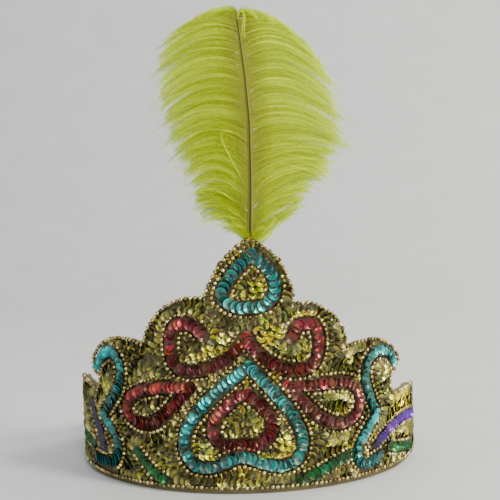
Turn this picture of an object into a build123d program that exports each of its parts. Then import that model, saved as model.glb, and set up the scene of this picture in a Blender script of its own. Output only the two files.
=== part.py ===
from build123d import *
import os
from math import cos, pi, radians, sin, tan
from typing import NamedTuple

os.makedirs("parts", exist_ok=True)

# A stiff cloth crown ring with a tall lobed front, sewn all over with sequins and seed beads, and one plume
# behind its point. Millimetres, Z up. The front faces -Y, the ring stands on Z = 0 and its axis is the Z axis.

# Driving sizes of the crown
ring_radius = 87.5  # outside of the cloth wall
wall_thickness = 2.0
lining_thickness = 1.0
lining_gap = 0.2
band_height = 25.0  # height of the ring at the back
front_height = 120.5  # from the table to the point
front_half_width = 98.0  # half of the lobed front, measured along the wall

# Driving sizes of the embroidery
ground_gap = 0.1
ground_thickness = 0.8  # the field of gold sequins
motif_gap = 0.15
motif_thickness = 1.2  # the sequin rows stand on the gold ground
motif_width = 9.8  # one row of sequins with a string of beads on each side
leaf_width = 8.0  # the narrower green rows
row_gap = 0.25  # between two rows that meet
bead_diameter = 2.3
string_clearance = 0.5
bottom_string_height = 3.2
edge_inset = 2.6  # from the wall's edge to the gold ground and the rows
band_string_run = 12.0  # length of the straight runs of the string round the band
lobe_string_run = 4.6  # length of its runs round the lobes
string_end_gap = 1.2  # between its two ends, at the back
lobe_overlap = 2.5  # how far each lobe's edge runs on into its neighbour

# Driving sizes of the plume
plume_length = 109.5  # height of the vane
plume_half_width = 48.0
plume_thickness = 13.0
vane_start_gap = 0.8  # from the crown's point to the foot of the vane
shaft_foot_diameter = 3.2
shaft_tip_diameter = 1.2
shaft_gap = 0.3
shaft_below_point = 46.0  # how far the quill reaches down behind the front
pocket_height = 34.0
pocket_width = 12.0
pocket_wall = 1.2
pocket_gap = 0.3

# Radii and heights that follow from them
lining_radius = ring_radius - wall_thickness - lining_gap
head_radius = lining_radius - lining_thickness
ground_radius = ring_radius + ground_gap
motif_radius = ground_radius + ground_thickness + motif_gap
string_radius = ring_radius + bead_diameter / 2 + string_clearance
ground_foot = bottom_string_height + bead_diameter / 2 + row_gap
reach = 2 * ring_radius
shaft_distance = head_radius - 2 * pocket_gap - pocket_wall - shaft_foot_diameter / 2

# The front is charted in 100 units across each half and 120 units up its height
CHART_HALF_WIDTH = 100
CHART_HEIGHT = 120
CHART_ACROSS = front_half_width / CHART_HALF_WIDTH
CHART_UP = front_height / CHART_HEIGHT
POINT_UP = 120  # where the crown's point is on the chart
point_height = POINT_UP * CHART_UP
vane_foot = point_height + vane_start_gap
quill_foot = point_height - shaft_below_point

CORNER_SHARE = 0.45  # the most of a run that the arc at each of its ends takes up


class Arc(NamedTuple):
    """One arc of the top edge, in chart units."""

    from_across: float
    from_up: float
    via_across: float
    via_up: float
    to_across: float
    to_up: float


class Lobe(NamedTuple):
    """One lobe of the front: its arcs, closed by straight lines to its foot."""

    name: str
    anchor: float
    foot_from: float
    foot_to: float
    foot_up: float
    arcs: tuple


class Motif(NamedTuple):
    """One sequin row: its middle line through chart points, and the rows that it stops at."""

    name: str
    width: float
    anchor: float
    closed: bool
    stops_at: tuple
    points: tuple


# Lobes of the edge from the right of the back, over the front, to the left of the back
# name, anchor, foot from, foot to, foot up, arcs (from across, from up, via across, via up, to across, to up)
LOBES = (
    Lobe("band_right", 132, 182, 76, 16, (
        Arc(176.0, 24.3, 160.0, 26.4, 146.0, 30.8),
        Arc(146.0, 30.8, 134.0, 35.2, 121.0, 38.4),
        Arc(121.0, 38.4, 104.0, 38.9, 88.0, 38.7),
    )),
    Lobe("scroll_lobe_right", 72, 96, 44, 16, (
        Arc(88.0, 38.7, 84.2, 44.0, 85.8, 49.8),
        Arc(85.8, 49.8, 88.5, 50.9, 91.0, 51.3),
        Arc(91.0, 51.3, 93.8, 55.0, 91.2, 59.2),
        Arc(91.2, 59.2, 72.5, 68.4, 52.0, 66.8),
    )),
    Lobe("shoulder_right", 28, 50, 0, 46, (
        Arc(52.0, 66.8, 44.2, 83.3, 23.5, 90.2),
    )),
    Lobe("apex", 0, 23, -19, 46, (
        Arc(23.5, 90.2, 17.6, 109.2, 6.4, 119.3),
        Arc(6.4, 119.3, 2.6, 120.6, -1.2, 119.0),
        Arc(-1.2, 119.0, -12.6, 107.6, -19.5, 93.8),
    )),
    Lobe("shoulder_left", -28, 0, -50, 46, (
        Arc(-19.5, 93.8, -44.6, 85.4, -53.2, 70.2),
    )),
    Lobe("scroll_lobe_left", -74, -44, -102, 16, (
        Arc(-53.2, 70.2, -74.5, 72.2, -93.4, 62.6),
        Arc(-93.4, 62.6, -97.0, 58.0, -95.6, 53.8),
        Arc(-95.6, 53.8, -92.0, 52.6, -88.6, 52.0),
        Arc(-88.6, 52.0, -89.2, 47.4, -94.5, 43.5),
    )),
    Lobe("band_left", -145, -80, -222, 16, (
        Arc(-94.5, 43.5, -104.0, 45.9, -115.0, 46.2),
        Arc(-115.0, 46.2, -138.0, 44.4, -158.0, 39.2),
        Arc(-158.0, 39.2, -172.0, 33.9, -186.0, 29.2),
        Arc(-186.0, 29.2, -200.0, 25.9, -216.0, 24.3),
    )),
)
FRONT_FIELD_ACROSS = 56  # the plain field below the lobes
FRONT_FIELD_UP = 61

# Sequin rows, in the order in which they are sewn
# name, width, anchor, closed, stops at, points (across, up)
MOTIFS = (
    Motif("large_heart", motif_width, 0, True, (), (
        (1, 61.5), (-8, 55), (-16, 48), (-24, 40), (-30.5, 31), (-32, 21), (-27.5, 13.5), (-19, 12.5),
        (-10, 16), (-3, 19), (6, 15), (15.5, 12.5), (23.5, 15), (27, 23), (25, 31.5), (18, 42), (10, 52),
    )),
    Motif("inner_heart", motif_width, 0, True, ("large_heart",), (
        (0, 48.5), (-8, 45.5), (-15, 38), (-17.5, 30.5), (-14.5, 25), (-8, 22.5), (-2.5, 24.5),
        (3.5, 23), (10, 27.5), (12.3, 33.5), (9, 40.5),
    )),
    Motif("apex_drop", motif_width, 0, True, (), (
        (3.5, 114), (-3.5, 107.5), (-9, 100.5), (-11.5, 94.5), (-6.5, 89.5), (2.5, 88.5), (11, 90.5),
        (15.5, 97), (12.5, 106.5),
    )),
    Motif("scroll_right", motif_width, 72, False, (), (
        (88, 55), (82.5, 61), (73, 63.3), (65, 59.5), (62.3, 50.5), (66.5, 40), (71.5, 32), (63, 24),
        (56.5, 16.5), (58, 9.5), (65, 7.5), (73.5, 10),
    )),
    Motif("scroll_left", motif_width, -78, False, (), (
        (-92, 55), (-86, 62.2), (-77.5, 66), (-70.5, 63), (-68.3, 55), (-72, 46), (-80, 38.5), (-85.5, 32),
        (-77, 26.5), (-71.5, 18.5), (-75, 10.5), (-85, 8), (-96.5, 9),
    )),
    Motif("shoulder_curl_right", motif_width, 20, False, ("large_heart", "apex_drop"), (
        (0.5, 75), (4, 68.5), (11, 62.5), (20.5, 58), (32, 58.8), (36.2, 67), (35, 80.5), (24.5, 80.5), (22, 74),
    )),
    Motif("shoulder_curl_left", motif_width, -20, False, ("large_heart", "apex_drop", "shoulder_curl_right"), (
        (0, 75), (-4, 69), (-11.5, 63), (-21, 59.5), (-33, 58.5), (-37.5, 66), (-37, 80.5), (-26.5, 82.5), (-20.5, 76),
    )),
    Motif("side_loop_right", motif_width, 40, True, ("large_heart", "scroll_right", "shoulder_curl_right"), (
        (20, 51), (33, 50.6), (46.5, 51), (56.5, 48.5), (60, 40.5), (56.5, 32.5), (47.5, 30), (38, 32.5),
        (29, 40.5),
    )),
    Motif("side_loop_left", motif_width, -46, True, ("large_heart", "scroll_left", "shoulder_curl_left"), (
        (-27, 51.5), (-41, 51), (-54, 48.7), (-62.5, 44.5), (-65.5, 38), (-60.5, 33), (-50, 31.5),
        (-41.5, 37), (-34, 44.5),
    )),
    Motif("leaf_right", leaf_width, 38, False, ("large_heart", "scroll_right"), (
        (51, 14.3), (42, 11.6), (33, 8.1), (24, 5.2),
    )),
    Motif("leaf_left", leaf_width, -50, False, ("large_heart", "scroll_left"), (
        (-58.5, 18), (-52.5, 12), (-46.5, 7.5), (-40.5, 4.8),
    )),
    Motif("side_bar_right", motif_width, 92, False, ("scroll_right",), (
        (114, 24), (96, 25.2), (86, 23.4), (78, 20.9), (72, 17.8), (67, 13),
    )),
    Motif("side_bar_left", motif_width, -94, False, ("scroll_left",), (
        (-98, 35.5), (-92.5, 28.5), (-88.5, 21.8), (-85, 15.5),
    )),
    Motif("side_leaf_right", leaf_width, 92, False, ("scroll_right", "side_bar_right"), (
        (108, 8), (95, 9.5), (82, 12.5),
    )),
    Motif("side_leaf_left", leaf_width, -104, False, ("scroll_left", "side_bar_left"), (
        (-114, 18), (-105, 17), (-97, 15),
    )),
)


class Lock(NamedTuple):
    """One lock of the vane, in shares of the plume's half width and length."""

    root_up: float
    belly_across: float
    belly_up: float
    tip_across: float
    tip_up: float
    breadth: float


# Locks of each side from the foot up: root up, belly across, belly up, tip across, tip up, breadth
LOCKS_RIGHT = (
    Lock(0.04, 0.22, 0.055, 0.44, 0.055, 0.07),
    Lock(0.11, 0.34, 0.13, 0.59, 0.12, 0.10),
    Lock(0.19, 0.40, 0.21, 0.61, 0.19, 0.10),
    Lock(0.28, 0.50, 0.31, 0.84, 0.285, 0.11),
    Lock(0.39, 0.56, 0.40, 0.90, 0.37, 0.11),
    Lock(0.48, 0.60, 0.50, 0.97, 0.465, 0.11),
    Lock(0.57, 0.62, 0.60, 1.00, 0.565, 0.12),
    Lock(0.66, 0.58, 0.69, 0.95, 0.665, 0.11),
    Lock(0.74, 0.46, 0.78, 0.80, 0.755, 0.11),
    Lock(0.81, 0.34, 0.86, 0.62, 0.84, 0.11),
    Lock(0.86, 0.20, 0.91, 0.44, 0.905, 0.10),
    Lock(0.88, 0.08, 0.94, 0.22, 0.955, 0.09),
)
LOCKS_LEFT = (
    Lock(0.04, 0.12, 0.065, 0.22, 0.085, 0.07),
    Lock(0.11, 0.24, 0.13, 0.42, 0.13, 0.08),
    Lock(0.19, 0.28, 0.20, 0.44, 0.19, 0.09),
    Lock(0.28, 0.36, 0.28, 0.54, 0.265, 0.10),
    Lock(0.38, 0.42, 0.38, 0.65, 0.36, 0.11),
    Lock(0.47, 0.48, 0.48, 0.74, 0.465, 0.11),
    Lock(0.57, 0.50, 0.59, 0.79, 0.575, 0.11),
    Lock(0.66, 0.50, 0.69, 0.81, 0.685, 0.12),
    Lock(0.75, 0.46, 0.78, 0.79, 0.79, 0.12),
    Lock(0.82, 0.32, 0.86, 0.65, 0.88, 0.11),
    Lock(0.86, 0.20, 0.92, 0.42, 0.94, 0.09),
    Lock(0.88, 0.06, 0.95, 0.18, 0.965, 0.09),
)

LOCK_TIP = 0.42  # breadth of a lock's tip, as a share of its breadth
LOCK_ROOT_INSET = 0.04  # how far a lock reaches past the shaft, as a share of the half width

# The vane is thickest at its middle and thins to its rim, as a lens whose edges lie outside the locks
LENS_SPREAD = 1.08  # half width of the lens, as a share of the plume's
LENS_FOOT = 0.30  # how far the lens reaches below the vane, as a share of its length
LENS_TOP = 1.12

# The shaft's line: up (share of the plume's length), across (share of its half width)
SHAFT_LINE = (
    (-0.42, 0.066),
    (0.0, 0.070),
    (0.25, 0.090),
    (0.50, 0.092),
    (0.70, 0.062),
    (0.94, 0.000),
)


def chart_angle(across):
    """Angle round the ring, in radians from the front, of a place on the chart."""
    return across * CHART_ACROSS / ring_radius


def tangent_plane(anchor):
    """Upright plane through the ring's axis whose normal points out of the wall at this place on the chart."""
    angle = chart_angle(anchor)
    return Plane(origin=(0, 0, 0), x_dir=(cos(angle), sin(angle), 0), z_dir=(sin(angle), -cos(angle), 0))


def on_plane(across, up, anchor):
    """Point of the tangent plane at the anchor that lies in front of a place on the wall."""
    return (ring_radius * sin(chart_angle(across) - chart_angle(anchor)), up * CHART_UP)


def tangent_radii(points, closed=False):
    """Radius of the arc at each corner, as large as the two runs beside it allow."""
    radii = []
    count = len(points)
    places = range(count) if closed else range(1, count - 1)
    for place in places:
        before = Vector(points[place]) - Vector(points[place - 1])
        after = Vector(points[(place + 1) % count]) - Vector(points[place])
        half_turn = radians(before.get_angle(after)) / 2
        radii.append(CORNER_SHARE * min(before.length, after.length) / tan(half_turn))
    return radii


def wall_shell(inner, outer, foot):
    """Upright tube from its foot to above the crown."""
    with BuildPart() as tube:
        with BuildSketch(Plane.XY.offset(foot)):
            Circle(outer)
            Circle(inner, mode=Mode.SUBTRACT)
        extrude(amount=reach)
    return tube.part


def lobe_prism(lobe, inset):
    """The lobe's outline, drawn in by the inset, carried outwards from the ring's axis."""
    with BuildPart() as prism:
        with BuildSketch(tangent_plane(lobe.anchor)):
            with BuildLine():
                for arc in lobe.arcs:
                    curve = ThreePointArc(
                        on_plane(arc.from_across, arc.from_up, lobe.anchor),
                        on_plane(arc.via_across, arc.via_up, lobe.anchor),
                        on_plane(arc.to_across, arc.to_up, lobe.anchor),
                    )
                    if arc is lobe.arcs[0]:
                        first_point = curve @ 0
                        run_in = first_point - (curve % 0) * lobe_overlap
                last_point = curve @ 1
                run_out = last_point + (curve % 1) * lobe_overlap
                Polyline(
                    last_point,
                    run_out,
                    on_plane(lobe.foot_to, lobe.foot_up, lobe.anchor),
                    on_plane(lobe.foot_from, lobe.foot_up, lobe.anchor),
                    run_in,
                    first_point,
                )
            make_face()
            if inset > 0:
                offset(amount=-inset)
        extrude(amount=reach)
    return prism.part


def crown_block(inset):
    """Block with the crown's outline seen from all round, its top edge drawn in by the inset."""
    with BuildPart() as block:
        Cylinder(reach, band_height - inset, align=(Align.CENTER, Align.CENTER, Align.MIN))
        with BuildSketch(tangent_plane(0)):
            Rectangle(
                2 * on_plane(FRONT_FIELD_ACROSS, 0, 0)[0],
                FRONT_FIELD_UP * CHART_UP - inset,
                align=(Align.CENTER, Align.MIN),
            )
        extrude(amount=reach)
        for lobe in LOBES:
            add(lobe_prism(lobe, inset))
    return block.part


def row_prism(motif, width):
    """A sequin row's outline, of this width, carried outwards from the ring's axis.

    A corner tighter than half the width is left sharp inside and rounded by a disc outside.
    """
    points = [on_plane(across, up, motif.anchor) for across, up in motif.points]
    turning = points if motif.closed else points[1:-1]
    radii = [radius if radius > width / 2 else 0 for radius in tangent_radii(points, motif.closed)]
    round_places = [point for point, radius in zip(turning, radii) if radius == 0]
    if not motif.closed:
        round_places += [points[0], points[-1]]
    with BuildLine() as middle_line:
        FilletPolyline(*points, radius=radii, close=motif.closed)
    with BuildPart() as prism:
        with BuildSketch(tangent_plane(motif.anchor)):
            for edge in middle_line.line.edges():
                trace(edge, line_width=width)
            with Locations(*round_places):
                Circle(width / 2)
        extrude(amount=reach)
    return prism.part


def sew_row(motif, ground_block):
    """One raised sequin row on the gold ground, cut where it meets the rows that it stops at."""
    with BuildPart() as row:
        add(row_prism(motif, motif.width))
        add(wall_shell(motif_radius, motif_radius + motif_thickness, ground_foot), mode=Mode.INTERSECT)
        add(ground_block, mode=Mode.INTERSECT)
        for other in MOTIFS:
            if other.name in motif.stops_at:
                add(row_prism(other, other.width + 2 * row_gap), mode=Mode.SUBTRACT)
    return row


def top_edge_route():
    """Route of the top string: from the back round the right side, over the lobes and back on the left."""
    route = []
    back = pi - string_end_gap / 2 / string_radius
    right_end = chart_angle(LOBES[0].arcs[0].from_across)
    left_end = chart_angle(LOBES[-1].arcs[-1].to_across)
    for start, end in ((back, right_end), (left_end, -back)):
        runs = round(abs(end - start) * ring_radius / band_string_run)
        angles = [start + (end - start) * step / runs for step in range(runs + 1)]
        stretch = [
            Vector(string_radius * sin(angle), -string_radius * cos(angle), band_height) for angle in angles
        ]
        if start > 0:
            route = stretch[:-1]
            route += lobes_route()
        else:
            route += stretch[1:]
    return route


def lobes_route():
    """The part of the top string's route that follows the lobes."""
    route = []
    for lobe in LOBES:
        for arc in lobe.arcs:
            with BuildLine(mode=Mode.PRIVATE) as edge:
                ThreePointArc(
                    (arc.from_across * CHART_ACROSS, arc.from_up * CHART_UP),
                    (arc.via_across * CHART_ACROSS, arc.via_up * CHART_UP),
                    (arc.to_across * CHART_ACROSS, arc.to_up * CHART_UP),
                )
            curve = edge.line.edges()[0]
            runs = max(1, round(curve.length / lobe_string_run))
            first = 1 if route else 0
            for step in range(first, runs + 1):
                place = curve.position_at(step / runs)
                angle = place.X / ring_radius
                route.append(Vector(string_radius * sin(angle), -string_radius * cos(angle), place.Y))
    return route


def shaft_line(extra):
    """Middle and radius of the shaft at each height of its line, its radius larger by the extra."""
    rows = []
    foot_up = SHAFT_LINE[0][0]
    span = SHAFT_LINE[-1][0] - foot_up
    for up, across in SHAFT_LINE:
        height = vane_foot + up * plume_length if up >= 0 else quill_foot
        share = (up - foot_up) / span
        radius = (shaft_foot_diameter * (1 - share) + shaft_tip_diameter * share) / 2 + extra
        rows.append((across * plume_half_width, height, radius))
    return rows


def shaft_rod(extra):
    """Tapered, slightly bent rod along the shaft's line."""
    with BuildPart() as rod:
        for across, height, radius in shaft_line(extra):
            with BuildSketch(Plane.XY.offset(height)):
                with Locations((across, -shaft_distance)):
                    Circle(radius)
        loft()
    return rod.part


def vane_point(across, up):
    """Point of the vane's plane from shares of the plume's half width and length."""
    return (across * plume_half_width, up * plume_length)


def shaft_across(up):
    """Share across of the shaft's line at a share up the vane."""
    for (low_up, low_across), (high_up, high_across) in zip(SHAFT_LINE, SHAFT_LINE[1:]):
        if low_up <= up <= high_up:
            return low_across + (high_across - low_across) * (up - low_up) / (high_up - low_up)
    return SHAFT_LINE[-1][1]


crown_outline = crown_block(0)

with BuildPart() as crown_wall:
    add(wall_shell(ring_radius - wall_thickness, ring_radius, 0))
    add(crown_outline, mode=Mode.INTERSECT)
crown_wall.part.label = "crown_wall"
export_step(crown_wall.part, "parts/crown_wall.step")

with BuildPart() as crown_lining:
    add(wall_shell(head_radius, lining_radius, 0))
    add(crown_outline, mode=Mode.INTERSECT)
crown_lining.part.label = "crown_lining"
export_step(crown_lining.part, "parts/crown_lining.step")

ground_block = crown_block(edge_inset)

with BuildPart() as sequin_ground:
    add(wall_shell(ground_radius, ground_radius + ground_thickness, ground_foot))
    add(ground_block, mode=Mode.INTERSECT)
sequin_ground.part.label = "sequin_ground"
export_step(sequin_ground.part, "parts/sequin_ground.step")

for motif in MOTIFS:
    sequin_row = sew_row(motif, ground_block)
    sequin_row.part.label = motif.name
    export_step(sequin_row.part, f"parts/{motif.name}.step")

top_route = top_edge_route()
top_radii = tangent_radii(top_route)
print("top string radii:", [round(radius, 1) for radius in top_radii])

with BuildPart() as top_edge_beads:
    with BuildLine() as top_path:
        FilletPolyline(*top_route, radius=top_radii)
    with BuildSketch(Plane(origin=top_path.line @ 0, z_dir=top_path.line % 0)):
        Circle(bead_diameter / 2)
    sweep(path=top_path.line)
top_edge_beads.part.label = "top_edge_beads"
export_step(top_edge_beads.part, "parts/top_edge_beads.step")

with BuildPart() as bottom_edge_beads:
    with BuildSketch(Plane.XZ):
        with Locations((string_radius, bottom_string_height)):
            Circle(bead_diameter / 2)
    revolve(axis=Axis.Z, revolution_arc=360)
bottom_edge_beads.part.label = "bottom_edge_beads"
export_step(bottom_edge_beads.part, "parts/bottom_edge_beads.step")

with BuildPart() as plume_shaft:
    add(shaft_rod(0))
plume_shaft.part.label = "plume_shaft"
export_step(plume_shaft.part, "parts/plume_shaft.step")

vane_plane = Plane(origin=(0, -shaft_distance, vane_foot), x_dir=(1, 0, 0), z_dir=(0, -1, 0))

with BuildPart() as plume_vane:
    with BuildSketch(vane_plane):
        for side, locks in ((1, LOCKS_RIGHT), (-1, LOCKS_LEFT)):
            for lock in locks:
                half = lock.breadth / 2
                root_across = shaft_across(lock.root_up) - side * LOCK_ROOT_INSET
                with BuildLine():
                    Polyline(
                        vane_point(root_across, lock.root_up - half),
                        vane_point(side * lock.belly_across, lock.belly_up - half),
                        vane_point(side * lock.tip_across, lock.tip_up - half * LOCK_TIP),
                        vane_point(side * lock.tip_across, lock.tip_up + half * LOCK_TIP),
                        vane_point(side * lock.belly_across, lock.belly_up + half),
                        vane_point(root_across, lock.root_up + half),
                        close=True,
                    )
                make_face()
    extrude(amount=plume_thickness / 2, both=True)
    with BuildSketch(Plane.XY.offset(vane_foot)):
        with BuildLine():
            lens_left = (-LENS_SPREAD * plume_half_width, -shaft_distance)
            lens_right = (LENS_SPREAD * plume_half_width, -shaft_distance)
            ThreePointArc(lens_left, (0, -shaft_distance - plume_thickness / 2), lens_right)
            ThreePointArc(lens_right, (0, -shaft_distance + plume_thickness / 2), lens_left)
        make_face()
    extrude(amount=2 * plume_length, both=True, mode=Mode.INTERSECT)
    with BuildSketch(Plane.YZ):
        with BuildLine():
            lens_foot = (-shaft_distance, vane_foot - LENS_FOOT * plume_length)
            lens_top = (-shaft_distance, vane_foot + LENS_TOP * plume_length)
            lens_middle = vane_foot + plume_length / 2
            ThreePointArc(lens_foot, (-shaft_distance - plume_thickness / 2, lens_middle), lens_top)
            ThreePointArc(lens_top, (-shaft_distance + plume_thickness / 2, lens_middle), lens_foot)
        make_face()
    extrude(amount=2 * plume_half_width, both=True, mode=Mode.INTERSECT)
    add(shaft_rod(shaft_gap), mode=Mode.SUBTRACT)
plume_vane.part.label = "plume_vane"
export_step(plume_vane.part, "parts/plume_vane.step")

pocket_foot = quill_foot - pocket_gap - pocket_wall
pocket_across = SHAFT_LINE[0][1] * plume_half_width

with BuildPart() as quill_pocket:
    with BuildSketch(Plane.XY.offset(pocket_foot)):
        with Locations((pocket_across, -shaft_distance)):
            Rectangle(pocket_width, shaft_foot_diameter + 2 * (pocket_gap + pocket_wall))
    extrude(amount=pocket_height)
    add(shaft_rod(pocket_gap), mode=Mode.SUBTRACT)
    add(wall_shell(head_radius - pocket_gap, reach, 0), mode=Mode.SUBTRACT)
quill_pocket.part.label = "quill_pocket"
export_step(quill_pocket.part, "parts/quill_pocket.step")
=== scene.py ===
import logging
from collections.abc import Callable, Iterator
from contextlib import contextmanager
from dataclasses import dataclass, field
from enum import Enum
from itertools import product
from math import atan2, ceil, cos, pi, radians, sin, tau

import bmesh
import bpy
import numpy as np
from mathutils import Matrix, Vector
from mathutils.kdtree import KDTree


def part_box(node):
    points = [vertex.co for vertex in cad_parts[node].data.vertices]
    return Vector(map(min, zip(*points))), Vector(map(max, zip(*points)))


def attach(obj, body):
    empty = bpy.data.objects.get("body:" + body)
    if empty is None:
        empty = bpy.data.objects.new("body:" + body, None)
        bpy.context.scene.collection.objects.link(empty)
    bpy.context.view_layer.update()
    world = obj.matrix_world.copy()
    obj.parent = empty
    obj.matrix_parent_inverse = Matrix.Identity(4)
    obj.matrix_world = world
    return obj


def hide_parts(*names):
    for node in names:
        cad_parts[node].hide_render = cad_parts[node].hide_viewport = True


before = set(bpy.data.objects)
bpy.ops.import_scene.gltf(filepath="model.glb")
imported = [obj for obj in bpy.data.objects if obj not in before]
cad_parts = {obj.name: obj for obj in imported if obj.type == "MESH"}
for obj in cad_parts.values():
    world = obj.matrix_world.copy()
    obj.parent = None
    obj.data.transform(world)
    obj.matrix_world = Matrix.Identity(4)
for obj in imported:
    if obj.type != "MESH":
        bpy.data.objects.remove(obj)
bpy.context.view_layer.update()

LOG = logging.getLogger("headdress")
MM = 0.001
ROOT = "root"
TINY = 1e-9

Array = np.ndarray
Piece = bpy.types.Object
Finish = bpy.types.Material
Socket = bpy.types.NodeSocket
Colour = tuple[float, float, float]


class Hue(Enum):
    """The colours that the sequins come in."""

    GOLD = "gold_sequins"
    TURQUOISE = "turquoise_sequins"
    RED = "red_sequins"
    GREEN = "green_sequins"
    VIOLET = "violet_sequins"


class Side(Enum):
    """The two sides of the plume's shaft."""

    LEFT = "left"
    RIGHT = "right"


# Shared mesh work


def deselect_all() -> None:
    """Leaves object mode with nothing selected."""
    if bpy.context.object and bpy.context.object.mode != "OBJECT":
        bpy.ops.object.mode_set(mode="OBJECT")
    bpy.ops.object.select_all(action="DESELECT")


def added(name: str, primitive: Callable, **settings: object) -> Piece:
    """Adds a primitive with its place and turn in its mesh.

    Args:
        name: the plain name of the object and its mesh.
        primitive: the operator that adds it.
        **settings: its sizes and place.

    Returns:
        The new object.
    """
    deselect_all()
    primitive(**settings)
    bpy.ops.object.transform_apply(location=True, rotation=True, scale=True)
    piece = bpy.context.object
    piece.name = piece.data.name = name
    return piece


@contextmanager
def editing(piece: Piece) -> Iterator[None]:
    """Edits a piece's mesh with all of it selected, then goes back to object mode.

    Args:
        piece: the piece, which is left active.
    """
    deselect_all()
    piece.select_set(True)
    bpy.context.view_layer.objects.active = piece
    bpy.ops.object.mode_set(mode="EDIT")
    bpy.ops.mesh.select_all(action="SELECT")
    yield
    bpy.ops.object.mode_set(mode="OBJECT")


def apply_modifier(piece: Piece, kind: str, **settings: object) -> None:
    """Adds a modifier with these settings and applies it.

    Args:
        piece: the object it is added to.
        kind: Blender's name for the kind of modifier.
        **settings: its values.
    """
    modifier = piece.modifiers.new(kind.lower(), kind)
    for key, value in settings.items():
        setattr(modifier, key, value)
    bpy.context.view_layer.objects.active = piece
    bpy.ops.object.modifier_apply(modifier=modifier.name)


def points_of(mesh: bpy.types.Mesh) -> Array:
    """The points of a mesh, one row of three each."""
    points = np.empty(len(mesh.vertices) * 3)
    mesh.vertices.foreach_get("co", points)
    return points.reshape(-1, 3)


def new_piece(name: str, points: Array, faces: list, **shares: Array | None) -> Piece:
    """Makes an object of points and faces, in metres in the frame.

    Args:
        name: the plain name of the piece.
        points: one row of three for each point.
        faces: the corners of each face.
        **shares: a number for each point: its tone varies its colour, and its span says how far
            along its strand or towards its hind rim it lies.

    Returns:
        The linked object.
    """
    mesh = bpy.data.meshes.new(name)
    mesh.from_pydata(points, [], faces)
    for title, values in shares.items():
        if values is not None:
            mesh.attributes.new(title, "FLOAT", "POINT").data.foreach_set("value", np.float32(values))
    mesh.validate()
    piece = bpy.data.objects.new(name, mesh)
    bpy.context.scene.collection.objects.link(piece)
    return piece


@dataclass
class Pattern:
    """A small thing that is modelled once and copied many times.

    It has its points, its faces, whether they are shaded smooth, and a span for each point.
    """

    points: Array
    faces: list[tuple[int, ...]]
    smooth: bool
    spans: Array | None = None

    @classmethod
    def taken_from(cls, piece: Piece, smooth: bool) -> "Pattern":
        """Reads the piece's mesh and removes the piece.

        Args:
            piece: the modelled thing.
            smooth: whether it is shaded smooth.

        Returns:
            Its pattern.
        """
        mesh = piece.data
        pattern = cls(points_of(mesh), [tuple(face.vertices) for face in mesh.polygons], smooth)
        bpy.data.objects.remove(piece)
        bpy.data.meshes.remove(mesh)
        return pattern

    def copied(self, name: str, places: Array, turns: Array, tones: Array) -> Piece:
        """Joins one copy at each place.

        Args:
            name: the plain name of the piece.
            places: where each copy lies, in metres.
            turns: one 3 by 3 matrix for each copy, whose columns are the copy's axes.
            tones: one share for each copy.

        Returns:
            The linked object.
        """
        count, size = len(places), len(self.points)
        points = np.einsum("nij,kj->nki", turns, self.points) + places[:, None, :]
        faces = [tuple(corner + copy * size for corner in face)
                 for copy in range(count) for face in self.faces]
        spans = None if self.spans is None else np.tile(self.spans, count)
        piece = new_piece(name, points.reshape(-1, 3), faces, tone=np.repeat(tones, size), span=spans)
        if self.smooth:
            piece.data.shade_smooth()
        return piece


def dressed(piece: Piece, finish: Finish, node: str) -> None:
    """Gives a piece its finish, hangs it on the root body and hides the solid that it replaces.

    Args:
        piece: the new piece.
        finish: its material.
        node: the solid that it replaces.
    """
    piece.data.materials.clear()
    piece.data.materials.append(finish)
    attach(piece, ROOT)
    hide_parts(node)
    LOG.info("%s: %d faces", piece.name, len(piece.data.polygons))


# Finishes


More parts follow.
